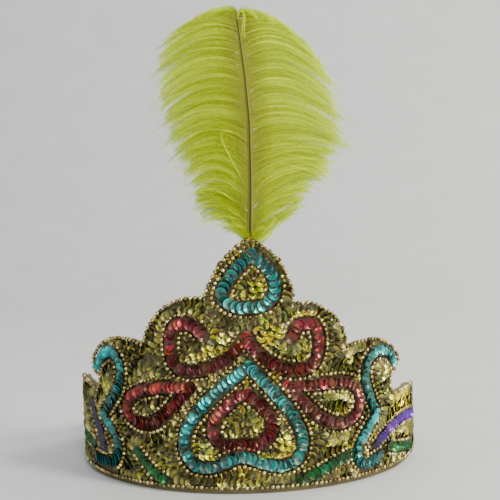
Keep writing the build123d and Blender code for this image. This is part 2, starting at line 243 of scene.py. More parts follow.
class Look:
    """A finish in the making: one principled shader and the nodes that feed it."""

    def __init__(self, name: str) -> None:
        """Starts a material.

        Args:
            name: the finish in plain words.
        """
        self.material = bpy.data.materials.new(name)
        self.material.use_nodes = True
        self.tree = self.material.node_tree

    def feed(self, node: bpy.types.Node, values: dict) -> None:
        """Gives a node's inputs what they need.

        Args:
            node: the node.
            values: for each input the socket that feeds it, or its own number or colour.
        """
        for key, value in values.items():
            if isinstance(value, Socket):
                self.tree.links.new(value, node.inputs[key])
            else:
                node.inputs[key].default_value = value

    def node(self, kind: str, output: int | str, values: dict, **settings: object) -> Socket:
        """Adds a node.

        Args:
            kind: Blender's name for it, without its first words.
            output: the output that is wanted.
            values: what its inputs get.
            **settings: its other values.

        Returns:
            The socket of that output.
        """
        node = self.tree.nodes.new(f"ShaderNode{kind}")
        for key, value in settings.items():
            setattr(node, key, value)
        self.feed(node, values)
        return node.outputs[output]

    def kept(self, title: str) -> Socket:
        """A number that is kept on the mesh under this title."""
        return self.node("Attribute", "Fac", {}, attribute_name=title)

    def place(self) -> Socket:
        """The object's own coordinates."""
        return self.node("TexCoord", "Object", {})

    def noise(self, scale: float, detail: float = 2.0) -> Socket:
        """Noise from 0 to 1 that repeats this many times in a metre."""
        return self.node("TexNoise", "Fac", {"Vector": self.place(), "Scale": scale, "Detail": detail})

    def weighed(self, source: Socket, weight: float, other: Socket | float) -> Socket:
        """A share of one socket, added to another socket or a number."""
        return self.node("Math", 0, {0: source, 1: weight, 2: other}, operation="MULTIPLY_ADD")

    def ramp(self, source: Socket, *stops: tuple[float, Colour]) -> Socket:
        """Turns a share into a colour.

        Args:
            source: the socket that gives the share.
            *stops: the place and colour of each stop.

        Returns:
            The socket that gives the colour.
        """
        node = self.tree.nodes.new("ShaderNodeValToRGB")
        elements = node.color_ramp.elements
        while len(elements) < len(stops):
            elements.new(0.5)
        for element, (place, colour) in zip(elements, stops):
            element.position = place
            element.color = (*colour, 1.0)
        self.feed(node, {"Fac": source})
        return node.outputs["Color"]

    def rising(self, source: Socket, low: float, high: float) -> Socket:
        """Goes from 0 to 1 as a share goes from low to high."""
        return self.ramp(source, (low, (0.0, 0.0, 0.0)), (high, (1.0, 1.0, 1.0)))

    def mixed(self, share: Socket, plain: Colour, other: Socket) -> Socket:
        """Goes from a plain colour to another one as a share rises."""
        return self.node("Mix", 2, {0: share, 6: (*plain, 1.0), 7: other}, data_type="RGBA")

    def bump(self, height: Socket, strength: float, distance: float) -> Socket:
        """The normal of a surface on which a pattern stands this many metres high."""
        return self.node("Bump", "Normal", {"Strength": strength, "Distance": distance, "Height": height})

    def finished(self, values: dict) -> Finish:
        """Gives the shader's inputs their values and returns the material."""
        self.feed(self.tree.nodes["Principled BSDF"], values)
        return self.material


@dataclass(frozen=True)
class Foil:
    """Metallic film of the sequins: its deep, plain and brightest tones, and how far its hue drifts."""

    hue: Hue
    deep: Colour
    plain: Colour
    bright: Colour
    drift: float = 0.12

    def made(self) -> Finish:
        """Builds the material: a painted highlight on the hind rim, painted shade under the next sequin."""
        look = Look(f"{self.hue.name.lower()}_foil")
        hind = look.kept("span")
        # Painted highlight: the tone rises towards the sequin's hind rim.
        lit = look.weighed(hind, 0.3, look.weighed(look.kept("tone"), 0.85, -0.15))
        tone = look.ramp(lit, (0.0, self.deep), (0.5, self.plain), (1.0, self.bright))
        # Painted shade: where the next sequin covers this one, the colour falls to the deep tone.
        tone_with_cover_shade = look.mixed(look.rising(hind, 0.50, 0.80), self.deep, tone)
        shift = look.weighed(look.noise(170.0), self.drift, 0.5 - self.drift / 2)
        return look.finished({
            "Base Color": look.node("HueSaturation", "Color", {"Hue": shift, "Color": tone_with_cover_shade}),
            "Metallic": 0.85, "Roughness": 0.30, "Coat Weight": 0.06, "Coat Roughness": 0.15,
            "Normal": look.bump(look.noise(900.0), 0.3, 0.0002),
        })


@dataclass(frozen=True)
class Toned:
    """A finish whose colour follows the tone kept on the mesh.

    Its stops are a share and a colour each, and its grain is how often the bump repeats in a metre,
    how much of it shows and how high it is, in metres.
    """

    name: str
    stops: tuple[tuple[float, Colour], ...]
    roughness: float
    grain: tuple[float, float, float]
    metallic: float = 0.0
    specular: float = 0.5
    coat: float = 0.0

    def made(self) -> Finish:
        """Builds the material."""
        look = Look(self.name)
        scale, strength, height = self.grain
        return look.finished({
            "Base Color": look.ramp(look.kept("tone"), *self.stops),
            "Metallic": self.metallic, "Roughness": self.roughness, "Specular IOR Level": self.specular,
            "Coat Weight": self.coat, "Coat Roughness": 0.05,
            "Normal": look.bump(look.noise(scale), strength, height),
        })


GLASS = Toned(
    "seed_bead_glass", ((0.0, (0.13, 0.095, 0.03)), (0.5, (0.42, 0.31, 0.10)), (1.0, (0.95, 0.80, 0.36))),
    roughness=0.25, grain=(1500.0, 0.1, 0.0001), metallic=0.95, coat=0.3,
)
THREAD = Toned(
    "sewing_thread", ((0.0, (0.52, 0.46, 0.30)), (1.0, (0.78, 0.73, 0.58))),
    roughness=0.7, grain=(4000.0, 0.4, 0.0001),
)
# Dyed horn of the plume's shaft; its darkest stops are the painted shade in the shaft's groove.
HORN = Toned(
    "dyed_horn", ((0.0, (0.045, 0.042, 0.004)), (0.3, (0.045, 0.042, 0.004)), (0.7, (0.23, 0.225, 0.025))),
    roughness=0.5, grain=(700.0, 0.2, 0.0001), specular=0.2,
)


@dataclass(frozen=True)
class Cloth:
    """Woven cloth: its two thread colours, how coarse it is and how much it shines."""

    name: str
    shade: Colour
    thread: Colour
    threads_per_metre: float
    sheen: float
    roughness: float = 0.85
    metallic: float = 0.0

    def made(self) -> Finish:
        """Builds the material: warp and weft as crossed bands, and a soft mottle."""
        look = Look(self.name)
        crossed = look.noise(60.0, 4.0)
        for direction in ("DIAGONAL", "Z"):
            bands = look.node("TexWave", "Fac", {
                "Scale": self.threads_per_metre, "Distortion": 1.2, "Detail": 2.0, "Vector": look.place(),
            }, wave_type="BANDS", bands_direction=direction)
            crossed = look.weighed(bands, 0.25, crossed)
        return look.finished({
            "Base Color": look.ramp(crossed, (0.35, self.shade), (0.95, self.thread)),
            "Roughness": self.roughness, "Metallic": self.metallic, "Sheen Weight": self.sheen,
            "Normal": look.bump(crossed, 0.5, 0.0003),
        })


GOLD_LAME = Cloth(
    "gold_lame_cloth", shade=(0.075, 0.062, 0.025), thread=(0.20, 0.165, 0.065), threads_per_metre=1400.0,
    sheen=0.0, roughness=0.6, metallic=0.3,
)
COTTON = Cloth(
    "lining_cotton", shade=(0.66, 0.63, 0.54), thread=(0.90, 0.88, 0.82), threads_per_metre=900.0,
    sheen=0.2,
)


@dataclass(frozen=True)
class Down:
    """Dyed ostrich barbs: olive horn at the shaft, then yellow-green, bright and pale at their tips."""

    stem: Colour = (0.26, 0.27, 0.030)
    deep: Colour = (0.18, 0.23, 0.006)
    body: Colour = (0.40, 0.51, 0.003)
    pale: Colour = (0.80, 0.96, 0.02)

    def made(self) -> Finish:
        """Builds the material."""
        look = Look("dyed_barbs")
        span = look.kept("span")
        lit = look.weighed(span, 0.18, look.kept("tone"))
        tone = look.ramp(lit, (0.0, self.deep), (0.5, self.body), (1.0, self.pale))
        return look.finished({
            "Base Color": look.mixed(look.rising(span, 0.05, 0.32), self.stem, tone),
            "Roughness": 0.7, "Specular IOR Level": 0.03,
        })


# Lines on the wall


def arc_points(start: Array, via: Array, end: Array, step: float) -> Array:
    """Points along the arc through three places.

    Args:
        start: its first place.
        via: a place that it passes through.
        end: its last place.
        step: the distance between two points.

    Returns:
        The points, both ends included.
    """
    ax, ay, bx, by, cx, cy = *start, *via, *end
    turn = 2 * (ax * (by - cy) + bx * (cy - ay) + cx * (ay - by))
    a, b, c = ax**2 + ay**2, bx**2 + by**2, cx**2 + cy**2
    centre = np.array([
        (a * (by - cy) + b * (cy - ay) + c * (ay - by)) / turn,
        (a * (cx - bx) + b * (ax - cx) + c * (bx - ax)) / turn,
    ])
    radius = np.linalg.norm(start - centre)
    first, middle, last = (atan2(*(place - centre)[::-1]) for place in (start, via, end))
    sweep = (last - first) % tau
    if (middle - first) % tau > sweep:
        sweep -= tau
    count = max(2, round(abs(sweep) * radius / step))
    angles = first + sweep * np.linspace(0.0, 1.0, count + 1)
    return centre + radius * np.stack([np.cos(angles), np.sin(angles)], axis=1)


def smooth_line(corners: Array, closed: bool, step: float, sharp_turn: float) -> Array:
    """A line that rounds its corners as the solids' rows do, and keeps sharp ones sharp.

    Args:
        corners: the places that it turns at.
        closed: whether it ends where it starts.
        step: the distance between two points.
        sharp_turn: the smallest turn that stays sharp, in radians.

    Returns:
        Evenly spaced points along it.
    """
    count = len(corners)
    line: list[Array] = [] if closed else [corners[0]]
    for place in range(count) if closed else range(1, count - 1):
        here = corners[place]
        before, after = corners[place - 1] - here, corners[(place + 1) % count] - here
        folded = before @ after / np.linalg.norm(before) / np.linalg.norm(after)
        turn = pi - np.arccos(np.clip(folded, -1, 1))
        if turn > sharp_turn:
            line.append(here)
            continue
        for share in np.linspace(0.0, 1.0, 9):
            line.append(here + before / 2 * (1 - share) ** 2 + after / 2 * share**2)
    line.append(line[0] if closed else corners[-1])
    return resampled(np.array(line), step)


def resampled(line: Array, step: float) -> Array:
    """Evenly spaced points along a line.

    Args:
        line: its points.
        step: the distance wanted between two points.

    Returns:
        The new points, both ends included.
    """
    lengths = np.concatenate([[0.0], np.cumsum(np.linalg.norm(np.diff(line, axis=0), axis=1))])
    keep = np.concatenate([[True], np.diff(lengths) > TINY])
    lengths, line = lengths[keep], line[keep]
    places = np.linspace(0.0, lengths[-1], max(2, round(lengths[-1] / step)) + 1)
    return np.stack([np.interp(places, lengths, line[:, axis]) for axis in range(line.shape[1])], axis=1)


def headings(line: Array) -> Array:
    """Unit direction of a line at each of its points."""
    way = np.gradient(line, axis=0)
    return way / np.maximum(np.linalg.norm(way, axis=1, keepdims=True), TINY)


def crosswise(ways: Array) -> Array:
    """Directions a quarter turn to the left of these."""
    return ways[:, ::-1] * np.array([-1.0, 1.0])


def swung(ways: Array, angles: Array) -> Array:
    """Directions turned to the left by these angles."""
    return ways * np.cos(angles)[:, None] + crosswise(ways) * np.sin(angles)[:, None]


@dataclass(frozen=True)
class Ripple:
    """Soft waves on the wall: their length, and how far and over what length they sway."""

    length: float
    sway: float
    sway_length: float

    def height(self, along: Array, across: Array) -> Array:
        """Height of the waves at places along and across them, from -1 to 1."""
        return np.sin(along / self.length + self.sway * np.sin(across / self.sway_length))


class Nearby:
    """Finds how far places on the wall are from a line."""

    def __init__(self, line: Array) -> None:
        """Sorts the line's points.

        Args:
            line: its points, round and up.
        """
        self.tree = KDTree(len(line))
        for number, (around, up) in enumerate(line):
            self.tree.insert((around, up, 0.0), number)
        self.tree.balance()

    def distances(self, places: Array) -> Array:
        """Distance from each place to the nearest point of the line."""
        return np.array([self.tree.find((around, up, 0.0))[2] for around, up in places])


def inside(places: Array, fence: Array, batch: int = 2048) -> Array:
    """Whether each place lies inside a closed fence.

    Args:
        places: the places, round and up.
        fence: the fence's points.
        batch: how many places are worked out at a time.

    Returns:
        One truth value for each place.
    """
    found = np.empty(len(places), dtype=bool)
    ax, ay = fence[:, 0], fence[:, 1]
    bx, by = np.roll(ax, -1), np.roll(ay, -1)
    rise = np.where(by == ay, TINY, by - ay)
    for start in range(0, len(places), batch):
        x, y = places[start:start + batch, 0, None], places[start:start + batch, 1, None]
        crossed = ((ay > y) != (by > y)) & (x < (bx - ax) * (y - ay) / rise + ax)
        found[start:start + batch] = crossed.sum(axis=1) % 2 == 1
    return found


class Room:
    """Keeps things that are sewn on apart: it knows where the earlier ones are."""

    def __init__(self, cell: float) -> None:
        """Starts empty, with squares at least as wide as any distance that is asked for."""
        self.cell = cell
        self.taken: dict[tuple[int, int], list[tuple[float, float]]] = {}

    def take(self, place: Array, apart: float) -> bool:
        """Takes a place if nothing lies nearer to it than a distance.

        Args:
            place: the place, round and up.
            apart: the distance.

        Returns:
            Whether it was free.
        """
        around, up = place
        column, row = int(around // self.cell), int(up // self.cell)
        for square in product((column - 1, column, column + 1), (row - 1, row, row + 1)):
            for other, height in self.taken.get(square, ()):
                if (other - around) ** 2 + (height - up) ** 2 < apart**2:
                    return False
        self.taken.setdefault((column, row), []).append((float(around), float(up)))
        return True


@dataclass
class Wall:
    """The crown's cloth wall. A place on it is in millimetres, round and up.

    A place on its chart is across and up, 100 units to each half of the front and 120 to its height.
    """

    front_half_width: float = 98.0
    front_height: float = 120.5
    band_height: float = 25.0
    line_step: float = 0.5
    ring_radius: float = field(init=False)
    edge: Array = field(init=False)
    fence: Array = field(init=False)
    edge_near: Nearby = field(init=False)

    CHART = (100, 120)

    # The ends of the lobed edge's arcs, from its right end to its left end, on the chart, with a
    # place that each arc passes through between its ends
    LOBES = (
        (176, 24.3), (160, 26.4), (146, 30.8), (134, 35.2), (121, 38.4), (104, 38.9), (88, 38.7),
        (84.2, 44), (85.8, 49.8), (88.5, 50.9), (91, 51.3), (93.8, 55), (91.2, 59.2), (72.5, 68.4),
        (52, 66.8), (44.2, 83.3), (23.5, 90.2), (17.6, 109.2), (6.4, 119.3), (2.6, 120.6), (-1.2, 119),
        (-12.6, 107.6), (-19.5, 93.8), (-44.6, 85.4), (-53.2, 70.2), (-74.5, 72.2), (-93.4, 62.6),
        (-97, 58), (-95.6, 53.8), (-92, 52.6), (-88.6, 52), (-89.2, 47.4), (-94.5, 43.5), (-104, 45.9),
        (-115, 46.2), (-138, 44.4), (-158, 39.2), (-172, 33.9), (-186, 29.2), (-200, 25.9), (-216, 24.3),
    )

    def __post_init__(self) -> None:
        """Reads the ring's size from the frame and draws its edge."""
        low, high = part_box("crown_wall")
        self.ring_radius = (high[0] - low[0]) / 2 / MM
        places = self.charted(self.LOBES)
        lobes = np.concatenate([arc_points(*places[first:first + 3], self.line_step)
                                for first in range(0, len(places) - 1, 2)])
        lobes = lobes[lobes[:, 1] > self.band_height]
        right, left = (self.half_round, self.band_height), (-self.half_round, self.band_height)
        self.edge = resampled(np.concatenate([[right], lobes, [left]]), self.line_step)
        self.fence = np.concatenate([self.edge, [[-self.half_round, 0.0], [self.half_round, 0.0]]])
        self.edge_near = Nearby(self.edge)

    @property
    def half_round(self) -> float:
        """Half of the ring's length round."""
        return pi * self.ring_radius

    def charted(self, places: tuple) -> Array:
        """Places on the wall of one or more places on the chart."""
        return np.array(places) * (self.front_half_width, self.front_height) / self.CHART

    def level(self, height: float) -> Array:
        """Level line round the whole wall, from the right of the back to its left."""
        around = np.arange(self.half_round, -self.half_round, -self.line_step)
        return np.stack([around, np.full_like(around, height)], axis=1)

    def turns(self, places: Array, ways: Array, tilts: Array | float, rolls: Array | float) -> Array:
        """Axes of things that lie on the wall.

        Args:
            places: where each lies, round and up.
            ways: the direction along the wall that each points in.
            tilts: how far each one's hind edge is raised, in radians.
            rolls: how far its left edge is raised, in radians.

        Returns:
            One 3 by 3 matrix each: its columns point ahead, across and out.
        """
        angle = places[:, 0] / self.ring_radius
        nought = np.zeros_like(angle)
        tilts, rolls = (nought[:, None] + np.reshape(lean, (-1, 1)) for lean in (tilts, rolls))
        out = np.stack([np.sin(angle), -np.cos(angle), nought], axis=1)
        along = np.stack([np.cos(angle), np.sin(angle), nought], axis=1)
        ahead = along * ways[:, :1] + np.array([0.0, 0.0, 1.0]) * ways[:, 1:]
        side = np.cross(out, ahead)
        out = out * np.cos(rolls) - side * np.sin(rolls)
        side = np.cross(out, ahead)
        lean_ahead = ahead * np.cos(tilts) - out * np.sin(tilts)
        lean_out = out * np.cos(tilts) + ahead * np.sin(tilts)
        return np.stack([lean_ahead, side, lean_out], axis=2)

    def points(self, places: Array, lift: Array | float) -> Array:
        """Points of space over places on the wall.

        Args:
            places: where each lies, round and up.
            lift: how far each stands off the wall, in millimetres.

        Returns:
            The points, in metres.
        """
        angle = places[:, 0] / self.ring_radius
        radius = (self.ring_radius + lift) * MM
        return np.stack([radius * np.sin(angle), -radius * np.cos(angle), places[:, 1] * MM], axis=1)


@dataclass
class SequinRow:
    """One row of the embroidery, in millimetres and radians.

    It has its colour, the chart places that its middle line turns at, the earlier rows that it stops
    at, the pitch of its sequins, how far its strings of beads run from its middle, whether it was
    sewn from its last place to its first, and the smallest turn that stays sharp. Its shade is a share
    of brightness taken off its tones as painted shade (painted light when it is below 0), and each
    sequin leans by its tilt.
    """

    node: str
    hue: Hue
    corners: tuple[tuple[float, float], ...]
    closed: bool = False
    stops_at: tuple[str, ...] = ()
    pitch: float = 2.5
    reach: float = 4.4
    backwards: bool = False
    sharp_turn: float = radians(62)
    shade: float = 0.0
    tilt: float = radians(14)


ROWS = (
    SequinRow("large_heart", Hue.TURQUOISE, (
        (1, 61.5), (-8, 55), (-16, 48), (-24, 40), (-30.5, 31), (-32, 21), (-27.5, 13.5), (-19, 12.5),
        (-10, 16), (-3, 19), (6, 15), (15.5, 12.5), (23.5, 15), (27, 23), (25, 31.5), (18, 42), (10, 52),
    ), closed=True, backwards=True, tilt=radians(3)),
    SequinRow("inner_heart", Hue.RED, (
        (0, 48.5), (-8, 45.5), (-15, 38), (-17.5, 30.5), (-14.5, 25), (-8, 22.5), (-2.5, 24.5),
        (3.5, 23), (10, 27.5), (12.3, 33.5), (9, 40.5),
    ), closed=True, stops_at=("large_heart",), backwards=True),
    SequinRow("apex_drop", Hue.TURQUOISE, (
        (3.5, 114), (-3.5, 107.5), (-9, 100.5), (-11.5, 94.5), (-6.5, 89.5), (2.5, 88.5), (11, 90.5),
        (15.5, 97), (12.5, 106.5),
    ), closed=True, pitch=3.3),
    SequinRow("scroll_right", Hue.TURQUOISE, (
        (88, 55), (82.5, 61), (73, 63.3), (65, 59.5), (62.3, 50.5), (66.5, 40), (71.5, 32), (63, 24),
        (56.5, 16.5), (58, 9.5), (65, 7.5), (73.5, 10),
    ), shade=-0.3, tilt=radians(4)),
    SequinRow("scroll_left", Hue.TURQUOISE, (
        (-92, 55), (-86, 62.2), (-77.5, 66), (-70.5, 63), (-68.3, 55), (-72, 46), (-80, 38.5),
        (-85.5, 32), (-77, 26.5), (-71.5, 18.5), (-75, 10.5), (-85, 8), (-96.5, 9),
    )),
    SequinRow("shoulder_curl_right", Hue.RED, (
        (0.5, 75), (4, 68.5), (11, 62.5), (20.5, 58), (32, 58.8), (36.2, 67), (35, 80.5), (24.5, 80.5),
        (22, 74),
    ), stops_at=("large_heart", "apex_drop"), pitch=2.8, sharp_turn=radians(110)),
    SequinRow("shoulder_curl_left", Hue.RED, (
        (0, 75), (-4, 69), (-11.5, 63), (-21, 59.5), (-33, 58.5), (-37.5, 66), (-37, 80.5), (-26.5, 82.5),
        (-20.5, 76),
    ), stops_at=("large_heart", "apex_drop", "shoulder_curl_right"), pitch=2.8, sharp_turn=radians(110)),
    SequinRow("side_loop_right", Hue.RED, (
        (20, 51), (33, 50.6), (46.5, 51), (56.5, 48.5), (60, 40.5), (56.5, 32.5), (47.5, 30), (38, 32.5),
        (29, 40.5),
    ), closed=True, stops_at=("large_heart", "scroll_right", "shoulder_curl_right"), pitch=2.8,
        backwards=True, shade=0.2, tilt=radians(3)),
    SequinRow("side_loop_left", Hue.RED, (
        (-27, 51.5), (-41, 51), (-54, 48.7), (-62.5, 44.5), (-65.5, 38), (-60.5, 33), (-50, 31.5),
        (-41.5, 37), (-34, 44.5),
    ), closed=True, stops_at=("large_heart", "scroll_left", "shoulder_curl_left"), backwards=True),
    SequinRow("leaf_right", Hue.GREEN, (
        (51, 14.3), (42, 11.6), (33, 8.1), (24, 5.2),
    ), stops_at=("large_heart", "scroll_right"), reach=3.4),
    SequinRow("leaf_left", Hue.GREEN, (
        (-58.5, 18), (-52.5, 12), (-46.5, 7.5), (-40.5, 4.8),
    ), stops_at=("large_heart", "scroll_left"), reach=3.4),
    SequinRow("side_bar_right", Hue.VIOLET, (
        (114, 24), (96, 25.2), (86, 23.4), (78, 20.9), (72, 17.8), (67, 13),
    ), stops_at=("scroll_right",), pitch=2.2, reach=3.6),
    SequinRow("side_bar_left", Hue.VIOLET, (
        (-98, 35.5), (-92.5, 28.5), (-88.5, 21.8), (-85, 15.5),
    ), stops_at=("scroll_left",), shade=1.3),
    SequinRow("side_leaf_right", Hue.GREEN, (
        (108, 8), (95, 9.5), (82, 12.5),
    ), stops_at=("scroll_right", "side_bar_right"), reach=3.4, shade=0.5),
    SequinRow("side_leaf_left", Hue.GREEN, (
        (-114, 18), (-105, 17), (-97, 15),
    ), stops_at=("scroll_left", "side_bar_left"), reach=3.4, shade=0.85),
)

# Painted highlights where gold sequins catch the light, on the chart: across, up, reach in millimetres, gain
GLINTS = (
    (-18.5, 70.5, 6, 0.8), (-10, 72, 5, 0.6), (7.8, 76.2, 5, 1.0), (14, 76, 4, 1.4), (29, 85.5, 5, 1.4),
    (38, 80, 4, 0.6), (6.5, 97.5, 5, 1.6), (-1, 34, 9, 0.4), (-21, 19.1, 5, 1.2), (-20, 27, 5, 0.5),
    (16.4, 21.2, 6, 1.6), (9, 18, 5, 1.0), (48.7, 41, 6, 0.45), (54, 55, 7, 0.45), (92, 33.5, 12, 0.45),
    (84, 35, 6, 0.2), (106, 32, 10, 0.3), (40, 22, 6, 0.4), (52, 20, 5, 0.4), (-2, 6, 10, 0.3),
)


@dataclass(frozen=True)
class Unevenness:
    """How unevenly sequins are sewn: how far they stray, in millimetres and radians."""

    along: float
    aside: float
    turn: float
    tilt: float
    roll: float
    lift: float


@dataclass
class Embroidery:
    """The sequins and seed beads sewn on the wall, in millimetres and radians."""

    wall: Wall
    sequin_radius: float = 2.95
    sequin_hole: float = 0.5
    sequin_floor: float = 1.35
    floor_rise: float = 0.12
    sequin_foil: float = 0.13
    row_sides: int = 12
    row_depth: float = 0.8
    row_lift: float = 1.2
    row_edge_gap: float = 0.9
    stop_distance: float = 5.4
    ground_sides: int = 10
    ground_depth: float = 0.65
    ground_lift: float = 0.7
    ground_tilt: float = radians(14)
    ground_roll: float = radians(7)
    ground_pitch: float = 2.9
    ground_row: float = 3.0
    ground_rows: int = 8
    ground_keep_off: float = 1.7
    ground_slack: float = 0.25
    ground_squeeze: float = 1.6
    edge_keep_off: float = 2.3
    chain_slack: float = 0.35
    spare_step: float = 1.3
    spare_stray: float = 0.4
    spare_slack: float = 0.3
    squeezed_drop: float = 0.3
    gleam_power: float = 1.5
    gleam: float = 0.75
    gleam_lean: float = radians(20)
    gleam_roll: float = 0.35
    gleam_range: tuple[float, float] = (0.4, 1.0)
    brightest: float = 1.25
    ground_tone: float = 0.14
    ground_tone_spread: float = 0.55
    ground_dulling: float = 1.8
    patch_tone: float = 0.18
    run_tone_spread: float = 0.62
    run_dulling: float = 1.4
    single_tone_spread: float = 0.5
    single_dulling: float = 2.0
    bead_radius: float = 1.08
    bead_flattening: float = 0.94
    bead_pitch: float = 2.4
    bead_slack: float = 0.02
    bead_stray: float = 0.1
    bead_lean: float = 0.2
    bead_sizes: tuple[float, float] = (0.9, 1.06)
    bead_dulling: float = 1.3
    bead_sides: int = 8
    bead_rings: int = 5
    row_bead_lift: float = 1.65
    row_bead_squeeze: float = 0.35
    edge_bead_lift: float = 1.5
    bottom_string_height: float = 3.2
    bottom_string_gap: float = 2.0
    thread_step: float = 0.15
    front_reach: float = 100.0
    seed: int = 7

    ROW_UNEVENNESS = Unevenness(along=0.3, aside=0.16, turn=0.18, tilt=0.13, roll=0.12, lift=0.08)
    GROUND_UNEVENNESS = Unevenness(along=0.0, aside=0.2, turn=0.2, tilt=0.1, roll=0.09, lift=0.1)
    PATCHES = (Ripple(length=4.3, sway=2.0, sway_length=6.1), Ripple(length=3.7, sway=1.7, sway_length=7.9))
    FOILS = (
        Foil(Hue.GOLD, (0.095, 0.083, 0.042), (0.33, 0.305, 0.075), (0.92, 0.83, 0.05), 0.22),
        Foil(Hue.TURQUOISE, (0.065, 0.105, 0.085), (0.032, 0.41, 0.39), (0.03, 0.82, 0.77)),
        Foil(Hue.RED, (0.12, 0.055, 0.042), (0.32, 0.040, 0.038), (0.82, 0.050, 0.065)),
        Foil(Hue.GREEN, (0.045, 0.070, 0.034), (0.016, 0.17, 0.052), (0.03, 0.44, 0.16)),
        Foil(Hue.VIOLET, (0.066, 0.052, 0.078), (0.13, 0.036, 0.33), (0.26, 0.09, 0.56)),
    )

    def __post_init__(self) -> None:
        """Draws the rows' middle lines and models one sequin and one bead."""
        self.chance = np.random.default_rng(self.seed)
        self.lines: dict[str, Array] = {}
        for row in ROWS:
            corners = self.wall.charted(row.corners)
            line = smooth_line(corners, row.closed, self.wall.line_step, row.sharp_turn)
            self.lines[row.node] = line[::-1] if row.backwards else line
        self.near = {node: Nearby(line) for node, line in self.lines.items()}
        self.reach = {row.node: row.reach for row in ROWS}
        self.row_sequin = self.modelled_sequin(self.row_sides, self.row_depth)
        self.ground_sequin = self.modelled_sequin(self.ground_sides, self.ground_depth)
        self.bead = self.modelled_bead()
        self.glass = GLASS.made()
        self.bead_room = Room(self.bead_pitch)

    def modelled_sequin(self, sides: int, depth: float) -> Pattern:
        """One cup sequin: a flat floor round its hole and a faceted wall, open towards the viewer.

        Args:
            sides: how many facets it has.
            depth: how far its rim stands above its hole.

        Returns:
            Its pattern, whose spans grow from 0 at its front rim to 1 at its hind rim.
        """
        sequin = added("sequin", bpy.ops.mesh.primitive_circle_add, vertices=sides,
                       radius=self.sequin_hole * MM)
        floor = (self.sequin_floor / self.sequin_hole, self.floor_rise)
        rim = (self.sequin_radius / self.sequin_floor, 1.0)
        with editing(sequin):
            for spread, rise in (floor, rim):
                bpy.ops.mesh.extrude_edges_move()
                bpy.ops.transform.resize(value=(spread, spread, 1.0), center_override=(0.0, 0.0, 0.0))
                bpy.ops.transform.translate(value=(0.0, 0.0, rise * depth * MM))
        apply_modifier(sequin, "SOLIDIFY", thickness=self.sequin_foil * MM, offset=0.0)
        pattern = Pattern.taken_from(sequin, smooth=False)
        pattern.spans = np.clip(0.5 - pattern.points[:, 0] / (2 * self.sequin_radius * MM), 0.0, 1.0)
        return pattern

    def modelled_bead(self) -> Pattern:
        """One seed bead, its thread along X, a little shorter along the thread than across it."""
        bead = added("bead", bpy.ops.mesh.primitive_uv_sphere_add, segments=self.bead_sides,
                     ring_count=self.bead_rings, radius=self.bead_radius * MM)
        with editing(bead):
            bpy.ops.transform.rotate(value=pi / 2, orient_axis="Y", center_override=(0.0, 0.0, 0.0))
            bpy.ops.transform.resize(value=(self.bead_flattening, 1.0, 1.0), center_override=(0.0, 0.0, 0.0))
        return Pattern.taken_from(bead, smooth=True)

    def strayed(self, spread: float, *shape: int) -> Array:
        """Random values round 0 with this spread."""
        return self.chance.normal(0.0, spread, shape)

    def sewn_string(self, name: str, node: str, lines: list[Array], lift: float,
                    clear_of: tuple[str, ...] = ()) -> None:
        """Sews seed beads along lines, one after another, and none on top of another.

        Args:
            name: the plain name of the piece.
            node: the solid that it replaces.
            lines: the thread's lines on the wall.
            lift: how far the beads stand off the wall.
            clear_of: the rows whose sequins the beads keep off.
        """
        sewn: list[tuple[Array, Array]] = []
        for line in lines:
            fine = resampled(line, self.thread_step)
            free = np.ones(len(fine), dtype=bool)
            for other in clear_of:
                free &= self.near[other].distances(fine) > self.reach[other] - self.row_bead_squeeze
            sewn += [(spot, way) for spot, way in zip(fine[free], headings(fine)[free])
                     if self.bead_room.take(spot, self.bead_pitch - self.bead_slack)]
        spots, ways = (np.array(found) for found in zip(*sewn))
        count = len(spots)
        points = self.wall.points(spots + self.strayed(self.bead_stray, count, 2), lift)
        turns = self.wall.turns(spots, ways, self.strayed(self.bead_lean, count), 0.0)
        turns *= self.chance.uniform(*self.bead_sizes, (count, 1, 1))
        piece = self.bead.copied(name, points, turns, self.chance.random(count) ** self.bead_dulling)
        dressed(piece, self.glass, node)

    def unevenly_sewn(self, spots: Array, ways: Array, lean: tuple[float, float, float],
                      uneven: Unevenness) -> tuple[Array, ...]:
        """Moves and turns sequins a little, each its own way.

        Args:
            spots: where they lie, round and up.
            ways: the directions that they point in.
            lean: their tilt, their roll and their lift.
            uneven: how unevenly they are sewn.

        Returns:
            Their places, directions, tilts, rolls and lifts.
        """
        count = len(spots)
        if uneven.along:
            spots = spots + ways * self.strayed(uneven.along, count, 1)
        spots = spots + self.strayed(uneven.aside, count, 2)
        ways = swung(ways, self.strayed(uneven.turn, count))
        tilt, roll, lift = lean
        tilts = tilt + self.strayed(uneven.tilt, count)
        rolls = roll + self.strayed(uneven.roll, count)
        return spots, ways, tilts, rolls, lift + self.strayed(uneven.lift, count)

    def sewn_row(self, row: SequinRow, finish: Finish) -> None:
        """Sews one row: its overlapping sequins and the string of beads on each side.

        Args:
            row: the row.
            finish: the sequins' material.
        """
        line = self.lines[row.node]
        spots = resampled(line, row.pitch)[:-1 if row.closed else None]
        apart = self.wall.edge_near.distances(spots) > self.sequin_radius + self.row_edge_gap
        for other in row.stops_at:
            apart &= self.near[other].distances(spots) > self.stop_distance
        spots, ways, tilts, rolls, lift = self.unevenly_sewn(
            spots[apart], headings(spots)[apart], (row.tilt, 0.0, self.row_lift), self.ROW_UNEVENNESS)
        # Painted shade: the row's tones lose its shade share; a share below 0 paints light on them.
        piece = self.row_sequin.copied(
            f"{row.node}_sequins", self.wall.points(spots, lift), self.wall.turns(spots, ways, tilts, rolls),
            self.uneven_tones(len(spots)) * (1 - row.shade))
        dressed(piece, finish, row.node)
        across = crosswise(headings(line)) * row.reach
        sides = []
        for side in (line + across, line - across):
            side = side[self.wall.edge_near.distances(side) > self.edge_keep_off]
            side = side[side[:, 1] > self.bottom_string_height + self.bottom_string_gap]
            if len(side) > 2:
                sides.append(side)
        self.sewn_string(f"{row.node}_beads", row.node, sides, self.row_bead_lift, (row.node, *row.stops_at))

